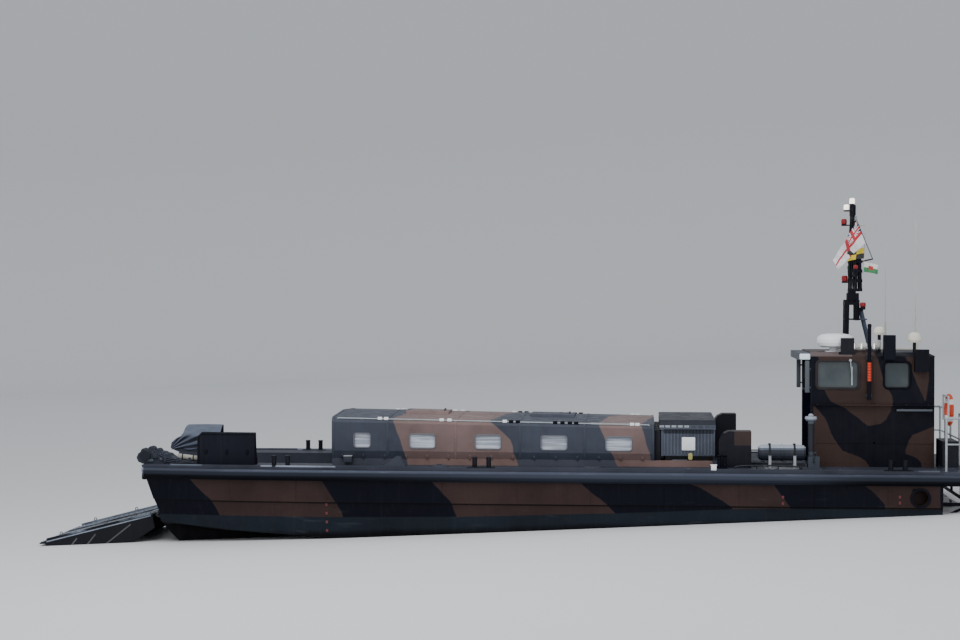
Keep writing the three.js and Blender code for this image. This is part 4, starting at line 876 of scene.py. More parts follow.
piece("winchDrum", winchParts(winchValues), "darkFittings")
piece("winchWire", tube(rounded([(4.78, -1.48, 1.85), (4.72, -1.48, 2.2), (4.715, -1.48, 2.50), (4.69, -1.48, 2.60)]),
                        0.006, (0, 1, 0), 6), "darkFittings")
capBrim = [(0, 0.02), (0.10, 0.02), (0.112, 0), (0.11, -0.03), (0.098, -0.035), (0, -0.035)]
capKnob = [(0, 0), (0.045, 0), (0.05, 0.03), (0.03, 0.055), (0, 0.06)]
piece("winchCap", [turned(capBrim, (4.64, -1.48, 2.66), count=28), turned(capKnob, (4.64, -1.48, 2.675), count=20)],
      "raftShell")
print("raft and winch trimmed")


# wheelhouse trim
houseWindows = [(4.79, 5.57, 3.19, 3.70), (6.05, 6.52, 3.20, 3.68)]  # x from and to, z from and to


def sideFrames(y, grow, corner, profile):
    rings = [windowRing(*window, y, corner, grow) for window in houseWindows]
    return mirrored(*[swept(ring, profile, (0, 1, 0), True) for ring in rings])


piece("wheelhouseWindowFrames", sideFrames(-1.052, 0.012, 0.08, softBox(0.04, 0.018, 0.005, 2)), "windowFrame")
piece("wheelhouseWindowBeads", sideFrames(-1.03, -0.006, 0.066, softBox(0.018, 0.05, 0.004, 1)), "gasketRubber")

frontPane = {"x": 4.678, "y": -0.49, "z": 3.41, "width": 0.89, "height": 0.61, "corner": 0.08}


def frontFrames(v):
    path = np.insert(softBox(v["width"], v["height"], v["corner"], 4), 0, v["x"], 1) + [0, v["y"], v["z"]]
    return mirrored(swept(path, softBox(0.035, 0.018, 0.005, 2), (1, 0, 0), True))


piece("wheelhouseFrontFrames", frontFrames(frontPane), "gasketRubber")

wiperValues = {"places": (-0.49, 0.49), "lean": 0.35, "length": 0.46, "x": 4.655, "z": 3.09}


def wipers(v):
    # a motor boss under each front pane, an arm up the glass and a blade across its end
    made = []
    for y in v["places"]:
        foot = np.array([v["x"], y, v["z"]])
        end = foot + [0.005, -v["length"] * math.sin(v["lean"]), v["length"] * math.cos(v["lean"])]
        made += [rod(foot + [0.025, 0, 0], foot - [0.015, 0, 0], 0.025), rod(foot, end, 0.008),
                 rod(end + [0.008, -0.02, -0.2], end + [0.008, 0.02, 0.1], 0.007)]
    return made


piece("wipers", wipers(wiperValues), "darkFittings")
sideWiperValues = {"boss": ((5.41, -1.055, 3.72), (5.41, -1.10, 3.72)),
                   "arm": ((5.41, -1.09, 3.72), (5.44, -1.075, 3.42)),
                   "blade": ((5.44, -1.072, 3.25), (5.44, -1.072, 3.60)), "bladeSize": (0.026, 0.012)}


def sideWiper(v):
    # one on the port side window, its blade upright by the after edge
    blade = swept(v["blade"], softBox(*v["bladeSize"], 0.003, 1), (0, 1, 0))
    return [rod(*v["boss"], 0.026), rod(*v["arm"], 0.009), blade]


piece("sideWiper", sideWiper(sideWiperValues), "paleGreyPaint")

poleValues = {"x": 5.76, "y": -1.125, "low": 2.97, "high": 4.37, "radius": 0.035, "strip": (3.33, 3.69, 8),
              "brackets": (3.05, 3.76)}


def danPole(v):
    # an upright pole with a capped end, held by clamps on two wall plates, and a banded strip round it
    x, y = v["x"], v["y"]
    cap = turned([(0, 0), (0.04, 0), (0.042, 0.02), (0.03, 0.05), (0, 0.055)], (x, y, v["high"] - 0.01), count=16)
    piece("danPole", [rod((x, y, v["low"]), (x, y, v["high"]), v["radius"], 16), cap], "blackPaint")
    bracket = [slab((x, -1.062, 0), (0.12, 0.03, 0.06), 0.005, axis="y"),
               slab((x, -1.095, 0), (0.03, 0.06, 0.035), 0.004, axis="y"),
               swept([(x, y, -0.02), (x, y, 0.02)], circle(0.043, 18))]
    piece("danPoleBrackets", [repeated(part, [(0, 0, z) for z in v["brackets"]]) for part in bracket], "darkFittings")
    edges = np.linspace(*v["strip"])
    piece("danPoleStrip", [rod((x, y - 0.003, low), (x, y - 0.003, high - 0.008), 0.037, 16)
                           for low, high in zip(edges[:-1], edges[1:])], "poleStrip")


danPole(poleValues)

wallSeams = {"x": 5.86, "low": 1.74, "high": 3.76, "z": 2.16, "front": 4.70, "back": 6.96, "y": -1.052}


def houseSeams(v):
    # an upright and a level cover strip on each side wall
    upright = [(v["x"], v["y"], v["low"]), (v["x"], v["y"], v["high"])]
    level = [(v["front"], v["y"], v["z"]), (v["back"], v["y"], v["z"])]
    return mirrored(swept(upright, softBox(0.04, 0.01, 0.003, 1), (0, 1, 0)),
                    swept(level, softBox(0.01, 0.035, 0.003, 1)))


piece("wheelhouseSeams", houseSeams(wallSeams), "wheelhousePaint")

# rivets keep clear of the windows, and to port also of the roof boxes that hang over the wall
rivetValues = {"zs": (1.78, 2.16, 3.765), "xs": (4.74, 6.96, 0.115), "y": 1.0505,
               "boxes": ((6.00, 6.26, 3.7, 4.2), (6.58, 6.88, 3.5, 3.95))}


def houseRivets(v):
    made = []
    for way in (-1, 1):
        places = np.array([(x, way * v["y"], z) for z in v["zs"] for x in np.arange(*v["xs"])])
        x, _, z = places.T
        clear = np.ones(len(places), bool)
        keepOff = [(x0 - 0.05, x1 + 0.05, z0 - 0.05, z1 + 0.05) for x0, x1, z0, z1 in houseWindows]
        for x0, x1, z0, z1 in keepOff + (list(v["boxes"]) if way < 0 else []):
            clear &= ~((x > x0) & (x < x1) & (z > z0) & (z < z1))
        made.append(studs(places[clear], 0.011, 0.007, "y", way))
    return made


piece("wheelhouseRivets", houseRivets(rivetValues), "wheelhousePaint")

strutValues = {"x": 4.61, "y": -1.01, "low": 3.10, "high": 3.71, "arms": (3.2, 3.55), "armY": -1.0, "wallX": 4.685}


def visorStruts(v):
    # an upright pale strut at each end of the visor, standing off the front wall on two arms
    post = slab((v["x"], v["y"], (v["low"] + v["high"]) / 2), (0.085, 0.025, v["high"] - v["low"]), 0.01, axis="y")
    return mirrored(post, *[swept([(v["x"] + 0.03, v["armY"], z), (v["wallX"], v["armY"], z)],
                                  softBox(0.02, 0.03, 0.004, 1)) for z in v["arms"]])


piece("visorStruts", visorStruts(strutValues), "strutPaint")
# the end caps' near-white pale blue is a painted highlight
piece("visorEndCaps", mirrored(slab((4.565, -1.012, 3.785), (0.20, 0.03, 0.11), 0.01, 0.02, "y")), "paleBluePaint")

wallRodValues = {"from": 6.27, "to": 6.93, "y": -1.125, "z": 2.78, "radius": 0.024, "sides": 14,
                 "brackets": (6.38, 6.80), "bracketY": -1.085, "bracketSize": (0.03, 0.075, 0.05), "edge": 0.004}
handRailValues = {"from": 4.74, "to": 6.93, "y": -1.088, "z": 2.872, "radius": 0.011, "sides": 12,
                  "brackets": (4.80, 5.34, 5.90, 6.46, 6.87), "bracketY": -1.068, "bracketSize": (0.022, 0.045, 0.03),
                  "edge": 0.003}


def wallRail(v):
    # a level rail along the port wall on its brackets
    bracket = slab((0, v["bracketY"], v["z"]), v["bracketSize"], v["edge"])
    return [rod((v["from"], v["y"], v["z"]), (v["to"], v["y"], v["z"]), v["radius"], v["sides"]),
            repeated(bracket, [(x, 0, 0) for x in v["brackets"]])]


piece("wallRod", wallRail(wallRodValues), "strutPaint")
piece("houseHandRails", mirrored(*wallRail(handRailValues)), "midGreyPaint")

doorGear = {"x": 7.052, "rollers": (-0.26, 0.26), "lever": (-0.27, 2.50)}


def doorFittings(v):
    # hanger plates with rollers at the door's head, and a lever beside the grip
    x, (y, z) = v["x"], v["lever"]
    made = [slab((x + 0.004, y, z), (0.012, 0.07, 0.12), 0.004, axis="x"),
            rod((x + 0.01, y, z), (x + 0.04, y, z), 0.012),
            tube([(x + 0.04, y, z), (x + 0.04, y + 0.07, z - 0.01), (x + 0.04, y + 0.12, z - 0.015)], 0.009)]
    for y in v["rollers"]:
        made += [slab((x, y, 3.55), (0.012, 0.10, 0.12), 0.003, axis="x"),
                 rod((x - 0.004, y, 3.575), (x + 0.018, y, 3.575), 0.022, 16)]
    return made


piece("doorFittings", doorFittings(doorGear), "darkFittings", "wheelhouse_door")
print("wheelhouse trimmed")


# mast fittings and flags
# columns: name, centre, radius, height, finish, body
lensTable = [
    ("mastheadLens", (5.55, 0, 6.775), 0.052, 0.12, "litLens", "mast"),
    ("whiteLens", (5.44, 0, 6.655), 0.052, 0.11, "litLens", "mast"),
    ("upperRedLens", (5.395, 0, 6.376), 0.055, 0.11, "redLens", "mast"),
    ("lowerRedLens", (5.41, 0, 5.270), 0.058, 0.12, "redLens", "mast"),
    ("portYardLens", (5.56, -0.558, 5.49), 0.042, 0.08, "redLens", "mast"),
    ("starboardYardLens", (5.56, 0.558, 5.49), 0.042, 0.08, "greenLens", "mast"),
    ("footRedLens", (5.74, -0.205, 4.765), 0.057, 0.09, "redLens", "craft"),
]


def lensShape(r, h, at):
    # a barrel with quarter-circle shoulders
    t = np.linspace(0, np.pi / 2, 5)
    upper = np.stack([r * (0.55 + 0.45 * np.cos(t)), h / 2 * (0.4 + 0.6 * np.sin(t))], 1)
    return turned(np.concatenate([[[0, -h / 2]], (upper * [1, -1])[::-1], upper, [[0, h / 2]]]), at)


for name, at, radius, height, finish, body in lensTable:
    piece(name, lensShape(radius, height, at), finish, body)

cableValues = {"count": 4, "radius": 0.009, "pitch": 0.035, "low": 5.05, "high": 6.65}


def mastCables(v):
    # cables clipped up the mast's port face, wandering a little between the clips
    z = np.linspace(v["low"], v["high"], 24)
    paths = [(5.50 + v["pitch"] * k * (1 - 0.25 * np.clip(z - 5.8, 0, 1)) + 0.008 * np.sin(z * 9 + k),
              -0.068 - 0.004 * np.cos(z * 7 + k * 2), z) for k in range(v["count"])]
    return [tube(np.stack(path, 1), v["radius"], (0, 1, 0), 6) for path in paths]


piece("mastCables", mastCables(cableValues), "strapRubber", "mast")


def sheetPoints(v):
    # place(u, w) = hoist line at w + away * fly * u + wave(u, w) across the sheet - sag * u^2,
    # the fly end drawing in towards the sheet's middle; each wave is its size, count, lean and start
    u = np.linspace(0, 1, v["across"])[:, None]
    w = np.linspace(0, 1, v["down"])[None, :]
    top, low, away = (np.asarray(v[key], float) for key in ("top", "low", "away"))
    away, down, width = unit(away), unit(low - top), np.linalg.norm(low - top)
    points = top + down * (width * (w + (0.5 - w) * (1 - v["spread"]) * u))[..., None]
    points = points + away * (v["fly"] * u + 0 * w)[..., None]
    wave = sum(size * np.sin(2 * np.pi * (count * u + lean * w) + start) for size, count, lean, start in v["waves"])
    points = points + unit(np.cross(down, away)) * (wave * np.minimum(1, u * 3))[..., None]
    points[..., 2] -= v["sag"] * (u + 0 * w) ** 2
    return points


def cloth(name, kind, v):
    # the sheet's own grid, thickened evenly, with its flat layout kept in the mesh
    obj = newObject(name, *grid(sheetPoints(v)), flagFinish(name, kind))
    steps = np.linspace(0, 1, v["across"]), np.linspace(1, 0, v["down"])
    flat = np.stack([*np.meshgrid(*steps, indexing="ij"), np.zeros((v["across"], v["down"]))], -1)
    obj.data.attributes.new("flat", "FLOAT_VECTOR", "POINT").data.foreach_set("vector", flat.ravel())
    thick = obj.modifiers.new("thickness", "SOLIDIFY")
    thick.thickness, thick.offset = 0.002, 0
    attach(obj, "mast")
    if v["replaces"]:
        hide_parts(v["replaces"])


flagTones = {"white": (226, 224, 226), "blue": (34, 40, 92), "red": (186, 36, 48), "unionRed": (186, 40, 52),
             "yellow": (226, 198, 36), "black": (22, 22, 26), "green": (48, 128, 78), "pale": (220, 220, 214),
             "spot": (176, 44, 44), "soil": (120, 116, 116)}


def flagFinish(name, kind):
    # the pattern is read from the sheet's flat layout: u from hoist to fly, w from foot to top
    n = Nodes(name)
    layout = n.put("Attribute", attribute_name="flat").outputs["Vector"]
    u, w, _ = n.put("SeparateXYZ", {"Vector": layout}).outputs
    tones = flagTones
    if kind == "cross":
        cu, cw = n.minus(n.times(u, 4.0), 1.0), n.minus(n.times(w, 4.0), 3.0)
        diagonal = n.math("MINIMUM", n.size(n.minus(cu, cw)), n.size(n.plus(cu, cw)))
        upright = n.math("MINIMUM", n.size(cu), n.size(cw))
        union = tones["blue"]
        for line, half, tone in ((diagonal, 0.26, "white"), (diagonal, 0.09, "unionRed"), (upright, 0.30, "white"),
                                 (upright, 0.18, "unionRed")):
            union = n.mix(n.math("LESS_THAN", line, half), union, tones[tone])
        tone = n.mix(n.math("MAXIMUM", n.near(w, 0.5, 0.07), n.near(u, 0.5, 0.04)), tones["white"], tones["red"])
        tone = n.mix(n.times(n.math("LESS_THAN", u, 0.46), n.math("GREATER_THAN", w, 0.57)), tone, union)
    elif kind == "quarters":
        same = n.near(n.math("GREATER_THAN", u, 0.5), n.math("GREATER_THAN", w, 0.5), 0.1)
        tone = n.mix(same, tones["yellow"], tones["black"])
    else:
        tone = n.mix(n.math("GREATER_THAN", w, 0.5), tones["green"], tones["pale"])
        tone = n.mix(n.times(n.near(u, 0.5, 0.16), n.near(w, 0.5, 0.2)), tone, tones["spot"])
    tone = n.mix(n.cloud(14, 4.0, 0.35, 0.75, 0, 0.25), tone, tones["soil"])
    weave = n.bump(n.wave(120, coords=layout), 0.15, 0.0006)
    return n.finish(tone, 0.88, weave, **{"Sheen Weight": 0.25})


halyard = {"top": np.array((5.63, -0.11, 6.39)), "foot": np.array((5.935, -0.11, 5.65)),
           "off": (-0.0065, -0.002, -0.002)}
ensignEnds = [halyard["top"] + share * (halyard["foot"] - halyard["top"]) + halyard["off"] for share in (0.02, 0.58)]
ensignValues = {"fly": 0.80, "hoist": 0.45, "across": 60, "down": 36, "top": ensignEnds[0], "low": ensignEnds[1],
                "away": (-0.64, -0.2, -0.74), "sag": 0.05, "spread": 0.46,
                "waves": ((0.034, 1.5, 0.5, 0.0), (0.014, 3.1, 0.9, 0.8), (0.006, 5.0, 1.6, 2.0)),
                "rests": ("mast",), "replaces": "ensign"}
quarterValues = {"fly": 0.36, "hoist": 0.21, "across": 30, "down": 20, "top": (5.783, -0.06, 5.87),
                 "low": (5.775, -0.06, 5.66), "away": (-0.92, -0.37, -0.10), "sag": 0.03, "spread": 0.9,
                 "waves": ((0.018, 1.2, 0.3, 0.4), (0.006, 2.9, 0.8, 1.0)), "rests": ("quarterLine",),
                 "replaces": None}
pennantValues = {"fly": 0.27, "hoist": 0.19, "across": 30, "down": 16, "top": (5.773, -0.06, 5.59),
                 "low": (5.767, -0.06, 5.40), "away": (0.98, -0.1, -0.08), "sag": 0.03, "spread": 0.95,
                 "waves": ((0.014, 1.1, 0.3, 1.2), (0.005, 3.2, 0.8, 0.2)), "rests": ("quarterLine",),
                 "replaces": None}
cloth("ensignCloth", "cross", ensignValues)
cloth("quarteredFlag", "quarters", quarterValues)
cloth("halvedFlag", "halves", pennantValues)
piece("quarterLine", [rod((5.80, -0.06, 6.30), (5.765, -0.06, 5.38), 0.005, 8),
                      rod((5.60, 0, 6.30), (5.802, -0.06, 6.30), 0.009, 8),
                      rod((5.70, 0, 5.38), (5.768, -0.06, 5.38), 0.009, 8)], "ropeFibre", "mast")
piece("halyardBlock", [lensShape(0.026, 0.08, (5.61, -0.11, 6.445)),
                       rod((5.62, -0.11, 6.40), (5.628, -0.11, 6.385), 0.014)],
      "paleGreyPaint", "mast")
print("mast dressed")


# bow gear
sheaveValues = {"x": -8.05, "z": 1.865, "ys": (-1.20, -1.592), "radius": 0.105, "groove": 0.025, "bolts": 0.06}


def sheaves(v):
    # a grooved wheel on a pin at each face of the port housing; canvas covers the starboard one's
    r, deep, t = v["radius"], v["radius"] - v["groove"], 1.047 * np.arange(6)
    wheel = [(0, -0.03), (r, -0.03), (r, -0.022), (deep, -0.006), (deep, 0.006), (r, 0.022), (r, 0.03), (0, 0.03)]
    bolts = np.stack([v["bolts"] * np.cos(t), 0 * t - 0.03, v["bolts"] * np.sin(t)], 1)
    parts = turned(wheel, (0, 0, 0), "y", 32), rod((0, -0.04, 0), (0, 0.04, 0), 0.022), studs(bolts, 0.009, 0.008)
    return [repeated(part, [(v["x"], y, v["z"]) for y in v["ys"]]) for part in parts]


piece("rampSheaves", sheaves(sheaveValues), "gearPaint")

# caps: x, z and radius; their spans: y from and to, and how far they stand out; pipes: y and z;
# the pipes' run: x and rise
gearValues = {
    "caps": ((-8.10, 1.935, 0.050), (-7.95, 1.965, 0.062), (-7.82, 1.935, 0.052), (-7.70, 1.885, 0.042),
             (-7.60, 1.850, 0.045)),
    "spans": ((-1.27, -1.53, 0), (-1.31, -1.36, 0.008), (-1.44, -1.49, 0.008)),
    "pipes": ((-1.575, 1.765), (-1.578, 1.80), (-1.575, 1.835)),
    "run": ((-7.86, 0.10), (-7.78, 0.04), (-7.60, -0.02), (-7.46, -0.035)),
    "clamps": (-7.66, -7.42, -7.18),
}


def gearFittings(v):
    # rounded caps over both housings; clamped pipes and a guard on the port low cover
    made = mirrored(*[rod((x, y0, z), (x, y1, z), r + out, 16) for x, z, r in v["caps"]
                      for y0, y1, out in v["spans"]])
    made += [tube(rounded([(x, y, z + rise) for x, rise in v["run"]] + [(-7.10, y, 1.73)]), 0.011, (0, 1, 0), 8)
             for y, z in v["pipes"]]
    made += [slab((x, -1.572, 1.775), (0.045, 0.035, 0.11), 0.005, axis="y") for x in v["clamps"]]
    return made + [slab((-7.86, -1.575, 1.86), (0.09, 0.04, 0.10), 0.008, axis="y")]


piece("rampGearFittings", gearFittings(gearValues), "gearGreyPaint")
piece("rampGearPlates", [slab((-7.95, -1.572, 1.77), (0.12, 0.025, 0.05), 0.004, axis="y"),
                         slab((-7.74, -1.572, 1.80), (0.05, 0.025, 0.06), 0.004, axis="y"),
                         studs([(-7.99 + 0.08 * k, -1.562, 1.93 - 0.012 * k) for k in range(5)], 0.012, 0.009)],
      "midGreyPaint")

matValues = {"front": (-7.435, 1.7845), "after": (-7.025, 1.7565), "y": -1.445, "radii": (0.056, 0.046), "gap": 0.001,
             "layers": 7, "dent": 0.003, "straps": (-7.34, -7.13)}


def matRoll(v):
    # a lathe-turned roll lying on the cover's slope, its radius running evenly between its ends,
    # which show the rolled layers as rings: dent * cos(layers * 2 pi * r / radius)
    (x0, z0), (x1, z1), (r0, r1) = v["front"], v["after"], v["radii"]
    share, rim = np.linspace(0, 1, 24), np.linspace(0, 0.93, 30)
    dent = v["dent"] * (2 + np.cos(rim * v["layers"] * 2 * np.pi))
    side = (r0 + (r1 - r0) * share) * (1 + 0.02 * np.sin(share * 9))
    centre = np.concatenate([0 * rim, share, 0 * rim + 1])[:, None]
    inward = np.concatenate([dent, 0 * share, -dent[::-1]])[:, None]
    radius = np.concatenate([rim * r0, side, rim[::-1] * r1])[:, None]
    across, up = radius * circle(1, 36).T[:, None]
    seat = z0 + r0 + (z1 + r1 - z0 - r0) * centre + v["gap"]
    return grid(np.stack([x0 + (x1 - x0) * centre + inward + 0 * up, v["y"] + across, seat + up], -1), closeV=True)


mat = piece("rolledMat", matRoll(matValues), "rolledMatCloth", smooth=50)
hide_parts("rolled_mat")


def matStraps(v):
    # a band round the roll at each place
    made = []
    for x in v["straps"]:
        seat, r = (np.interp(x, (v["front"][0], v["after"][0]), ends)
                   for ends in ((v["front"][1], v["after"][1]), v["radii"]))
        ring = np.insert(circle(r + 0.0022, 40), 0, x, 1) + [0, v["y"], seat + r + v["gap"]]
        made.append(swept(ring, softBox(0.002, 0.025, 0.0008, 1), (1, 0, 0), True))
    return made


piece("matStraps", matStraps(matValues), "strapRubber")

coverValues = {
    "nose": -8.25, "after": -7.232,
    "ridge": ((-8.25, 1.80), (-8.235, 1.90), (-8.17, 1.96), (-8.105, 2.00), (-8.055, 2.03), (-8.035, 2.12),
              (-8.01, 2.20), (-7.96, 2.238), (-7.60, 2.246), (-7.26, 2.242), (-7.23, 2.236)),
    "eaves": ((-8.25, 1.79), (-8.235, 1.885), (-8.17, 1.95), (-8.105, 1.99), (-8.05, 2.015), (-7.9, 2.03),
              (-7.23, 2.022)),
    "hem": 1.752, "inner": 1.2145, "marks": (0, 0.34, 0.76, 0.90, 1), "thickness": 0.004,
}


def coverSheet(v):
    # across: hem, eaves, screen's inner edge, screen's outer edge, outer hem, each a curve of x;
    # pleats on the hanging side = 5.5 mm * sin(26 * angle from the forward lower corner),
    # and sags on the slope = 12 mm * sin(3 pi * share) * sin(11 x)
    u = np.linspace(0, 1, 170)[:, None]
    t = np.linspace(0, 1, 72)[None, :]
    x = v["nose"] + (v["after"] - v["nose"]) * u ** 1.25 + 0 * t
    ridge, eaves = (np.interp(x, *np.array(v[key]).T) for key in ("ridge", "eaves"))
    onScreen = np.clip((x + 8.06) / 0.05, 0, 1)
    onScreen = onScreen * onScreen * (3 - 2 * onScreen)
    weights = [np.interp(t, v["marks"], np.eye(5)[k]) for k in range(5)]
    hem = v["hem"] + 0.012 * np.sin(17 * x) + 0.03 * np.exp(-((x - v["nose"]) / 0.03) ** 2)
    rows = [(v["inner"], np.minimum(hem, eaves - 0.01)), (v["inner"], eaves), (1.555, ridge),
            (1.592 + 0.050 * onScreen, ridge), (1.598 + 0.053 * onScreen, ridge - 0.09 - 0.03 * onScreen)]
    y, z = (sum(weight * (row[k] + 0 * x) for weight, row in zip(weights, rows)) for k in (0, 1))
    for part in [y, z] * 3:
        part[:, 1:-1] = (part[:, :-2] + 2 * part[:, 1:-1] + part[:, 2:]) / 4
    fan = np.arctan2(z - 1.74, x + 8.30)
    hanging = np.clip((0.40 - t) / 0.12, 0, 1)
    y = y + hanging * 0.0055 * np.sin(26 * fan + 1.2 * np.sin(5 * x))
    slope = np.clip((t - 0.36) / 0.08, 0, 1) * np.clip((0.74 - t) / 0.08, 0, 1)
    sag = 0.012 * np.sin(3 * np.pi * (t - 0.36) / 0.4) * np.sin(11 * x + 1)
    z = z + slope * (sag + 0.006 * np.sin(31 * x + 9 * t))
    return np.stack([x, y, z], -1)


coverPoints = coverSheet(coverValues)
cover = piece("screenCanvas", grid(coverPoints), "tarpaulin", smooth=60)
thicken = cover.modifiers.new("thickness", "SOLIDIFY")
thicken.thickness, thicken.offset = coverValues["thickness"], 0
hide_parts("screen_cover")

edgeValues = {"y": -1.59, "path": ((-6.99, 1.72), (-6.99, 2.23), (-6.93, 2.29), (-5.90, 2.29), (-5.90, 1.72)),
              "radius": 0.038, "cleats": (-6.85, -6.45, -6.05), "cleatY": -1.628, "cleatZ": 1.95}


def screenEdges(v):
    # a rolled edge bead and a row of cleats on the port screen
    cleat = slab((0, v["cleatY"], v["cleatZ"]), (0.05, 0.02, 0.09), 0.004, axis="y")
    return [tube([(x, v["y"], z) for x, z in v["path"]], v["radius"], (0, 1, 0)),
            repeated(cleat, [(x, 0, 0) for x in v["cleats"]])]


piece("screenEdges", screenEdges(edgeValues), "blackPaint")
print("bow gear trimmed")


# hull marks and fittings
# columns: x, chine's half breadth and height, knuckle's half breadth, deck's half breadth
topsideTable = np.array([(-8.50, 1.390, 0.70, 1.600, 1.730), (-7.50, 1.560, 0.57, 1.750, 1.860),
                         (-6.30, 1.720, 0.46, 1.900, 1.980), (-4.60, 1.850, 0.36, 1.990, 2.040),
                         (-1.50, 1.900, 0.33, 2.020, 2.050), (7.0, 1.900, 0.33, 2.020, 2.050)])
deckLevel = 1.70


def topsideAt(x, z):
    # half breadth: straight from the chine up to the knuckle's lower lip, and from its upper lip to the deck
    chineY, chineZ, knuckleY, deckY = (np.interp(x, topsideTable[:, 0], column) for column in topsideTable.T[1:])
    lower = chineY + (knuckleY - 0.035 - chineY) * (z - chineZ) / (1.04 - chineZ)
    upper = knuckleY + (deckY - knuckleY) * (z - 1.042) / (deckLevel - 1.042)
    return np.where(np.asarray(z) < 1.04, lower, upper)


# rows: x, z from and to, count
tickValues = {"rows": ((-4.46, 0.49, 0.99, 4), (4.085, 1.10, 1.22, 2), (6.215, 1.13, 1.24, 2)),
              "size": (0.042, 0.012, 0.052), "sunk": 0.001}


def draughtTicks(v):
    # plain marks up each side, with no figures
    tick = slab((0, 0, 0), v["size"], 0.002, axis="y")
    rows = [(x, np.linspace(*row)) for x, *row in v["rows"]]
    return mirrored(*[repeated(tick, np.stack([0 * z + x, v["sunk"] - topsideAt(x, z), z], 1)) for x, z in rows])


piece("draughtTicks", draughtTicks(tickValues), "tickPaint")

drainValues = {"places": ((6.48, 1.36), (5.30, 1.40), (2.10, 1.45), (-3.3, 1.45)), "radius": 0.035}


def sideDrains(v):
    # a lipped ring round a plate, on both sides at each place
    r = v["radius"]
    lip = [(r - 0.012, 0.004), (r - 0.012, -0.012), (r, -0.012), (r + 0.006, 0), (r, 0.012), (r - 0.012, 0.012),
           (r - 0.012, 0.004)]
    places = [(x, way * float(topsideAt(x, z)), z) for x, z in v["places"] for way in (-1, 1)]
    parts = turned(lip, (0, 0, 0), "y", 20), disc(r - 0.010, 0.003, (0, 0, 0), "y", 20, -0.004)
    return [repeated(part, places) for part in parts]


piece("sideDrains", sideDrains(drainValues), "blackPaint")

deckValues = {
    "railY": -1.72, "rail": (3.22, 4.42), "railRise": 0.075, "stays": (3.62, 4.02), "feet": (3.23, 3.62, 4.02, 4.41),
    "posts": (2.93, 3.03), "postY": -1.60,
    "postShape": ((0, 0), (0.055, 0), (0.055, 0.012), (0.038, 0.018), (0.036, 0.22), (0.046, 0.232), (0.046, 0.25),
                  (0, 0.255)),
}


def deckFittings(v):
    # a low rail over two stays, two dark posts, a step box on the coaming and pads at the bow's corners
    y, z, top, (x0, x1) = v["railY"], deckLevel, deckLevel + v["railRise"], v["rail"]
    rail = tube(rounded([(x0, y, z), (x0, y, top), (x1, y, top), (x1, y, z)]), 0.013, (0, 1, 0))
    stays = repeated(rod((0, y, z), (0, y, top), 0.011), [(x, 0, 0) for x in v["stays"]])
    feet = repeated(disc(0.030, 0.006, (0, y, z), count=16), [(x, 0, 0) for x in v["feet"]])
    piece("sideRails", mirrored(rail, stays, feet), "darkFittings")
    post = turned(v["postShape"], (0, v["postY"], z), count=20)
    piece("sidePosts", mirrored(repeated(post, [(x, 0, 0) for x in v["posts"]]),
                                slab((-8.07, -1.50, 1.47), (0.11, 0.15, 0.15), 0.03)), "blackPaint")
    piece("stepBoxes", mirrored(slab((-4.13, -1.402, 1.805), (0.16, 0.12, 0.12), 0.008)), "greyPaint")
    piece("stepBoxTops", mirrored(slab((-4.13, -1.402, 1.871), (0.165, 0.125, 0.012), 0.003)), "paleGreyPaint")
    piece("deckCleats", mirrored(slab((2.815, -1.985, 1.745), (0.10, 0.075, 0.088), 0.008),
                                 rod((2.755, -1.985, 1.80), (2.875, -1.985, 1.80), 0.012, 10)), "whiteMoulding")


deckFittings(deckValues)

manholeValues = {"places": ((-2.35, -1.62, deckLevel), (0.55, -1.62, deckLevel)), "radius": 0.19, "bolts": 10}


def manholes(v):
    # a raised rim, a lid with a lug and a ring of bolts
    r = v["radius"]
    lid = [(0, 0), (r, 0), (r, 0.014), (r - 0.03, 0.016), (r - 0.035, 0.022), (0, 0.026)]
    bolts = studs(np.insert(circle(r - 0.014, v["bolts"]), 2, 0.015, 1), 0.009, 0.007, "z", 1)
    parts = turned(lid, (0, 0, 0), count=40), slab((0, 0, 0.035), (0.09, 0.02, 0.02), 0.004), bolts
    return mirrored(*[repeated(part, v["places"]) for part in parts])


piece("manholes", manholes(manholeValues), "deckPaint")
fillerValues = {"places": ((2.35, -1.86, deckLevel), (5.15, -1.86, deckLevel)),
                "shape": ((0, 0), (0.05, 0), (0.05, 0.008), (0.034, 0.010), (0.034, 0.016), (0, 0.016))}
piece("fillerCaps", mirrored(repeated(turned(fillerValues["shape"], (0, 0, 0)), fillerValues["places"])),
      "marineAlloy")

tieDownValues = {"xs": (-7.2, -6.4, -5.6, -4.8), "ys": (-0.9, -0.3, 0.3, 0.9), "floor": 0.80, "radius": 0.05,
                 "ring": 0.03}


def tieDowns(v):
    # a round plate let into the floor, with a ring lying in it
    parts = disc(v["radius"], 0.004, (0, 0, 0)), eye((0, 0, 0.009), v["ring"], 0.0055, "z")
    return [repeated(part, [(x, y, v["floor"]) for x in v["xs"] for y in v["ys"]]) for part in parts]


piece("tieDowns", tieDowns(tieDownValues), "marineAlloy")
print("deck fitted out")

exhaustValues = {"x": 6.59, "z": 1.22, "ring": 0.165, "knuckle": (2.02, 1.04), "lean": 0.0455}


def exhaustRing(v, count, out):
    # points round the port outlet, leaning with the topsides and standing out from them
    points = np.insert(circle(v["ring"], count), 1, 0, 1) + [v["x"], 0, v["z"]]
    points[:, 1] = -(v["knuckle"][0] + (points[:, 2] - v["knuckle"][1]) * v["lean"] + out)
    return points


flange = swept(exhaustRing(exhaustValues, 40, 0.006), softBox(0.045, 0.02, 0.005, 1), (0, 1, 0), True)
flangeBolts = studs(exhaustRing(exhaustValues, 10, 0.014), 0.009, 0.008)
piece("exhaustFlanges", mirrored(flange, flangeBolts), "blackPaint")

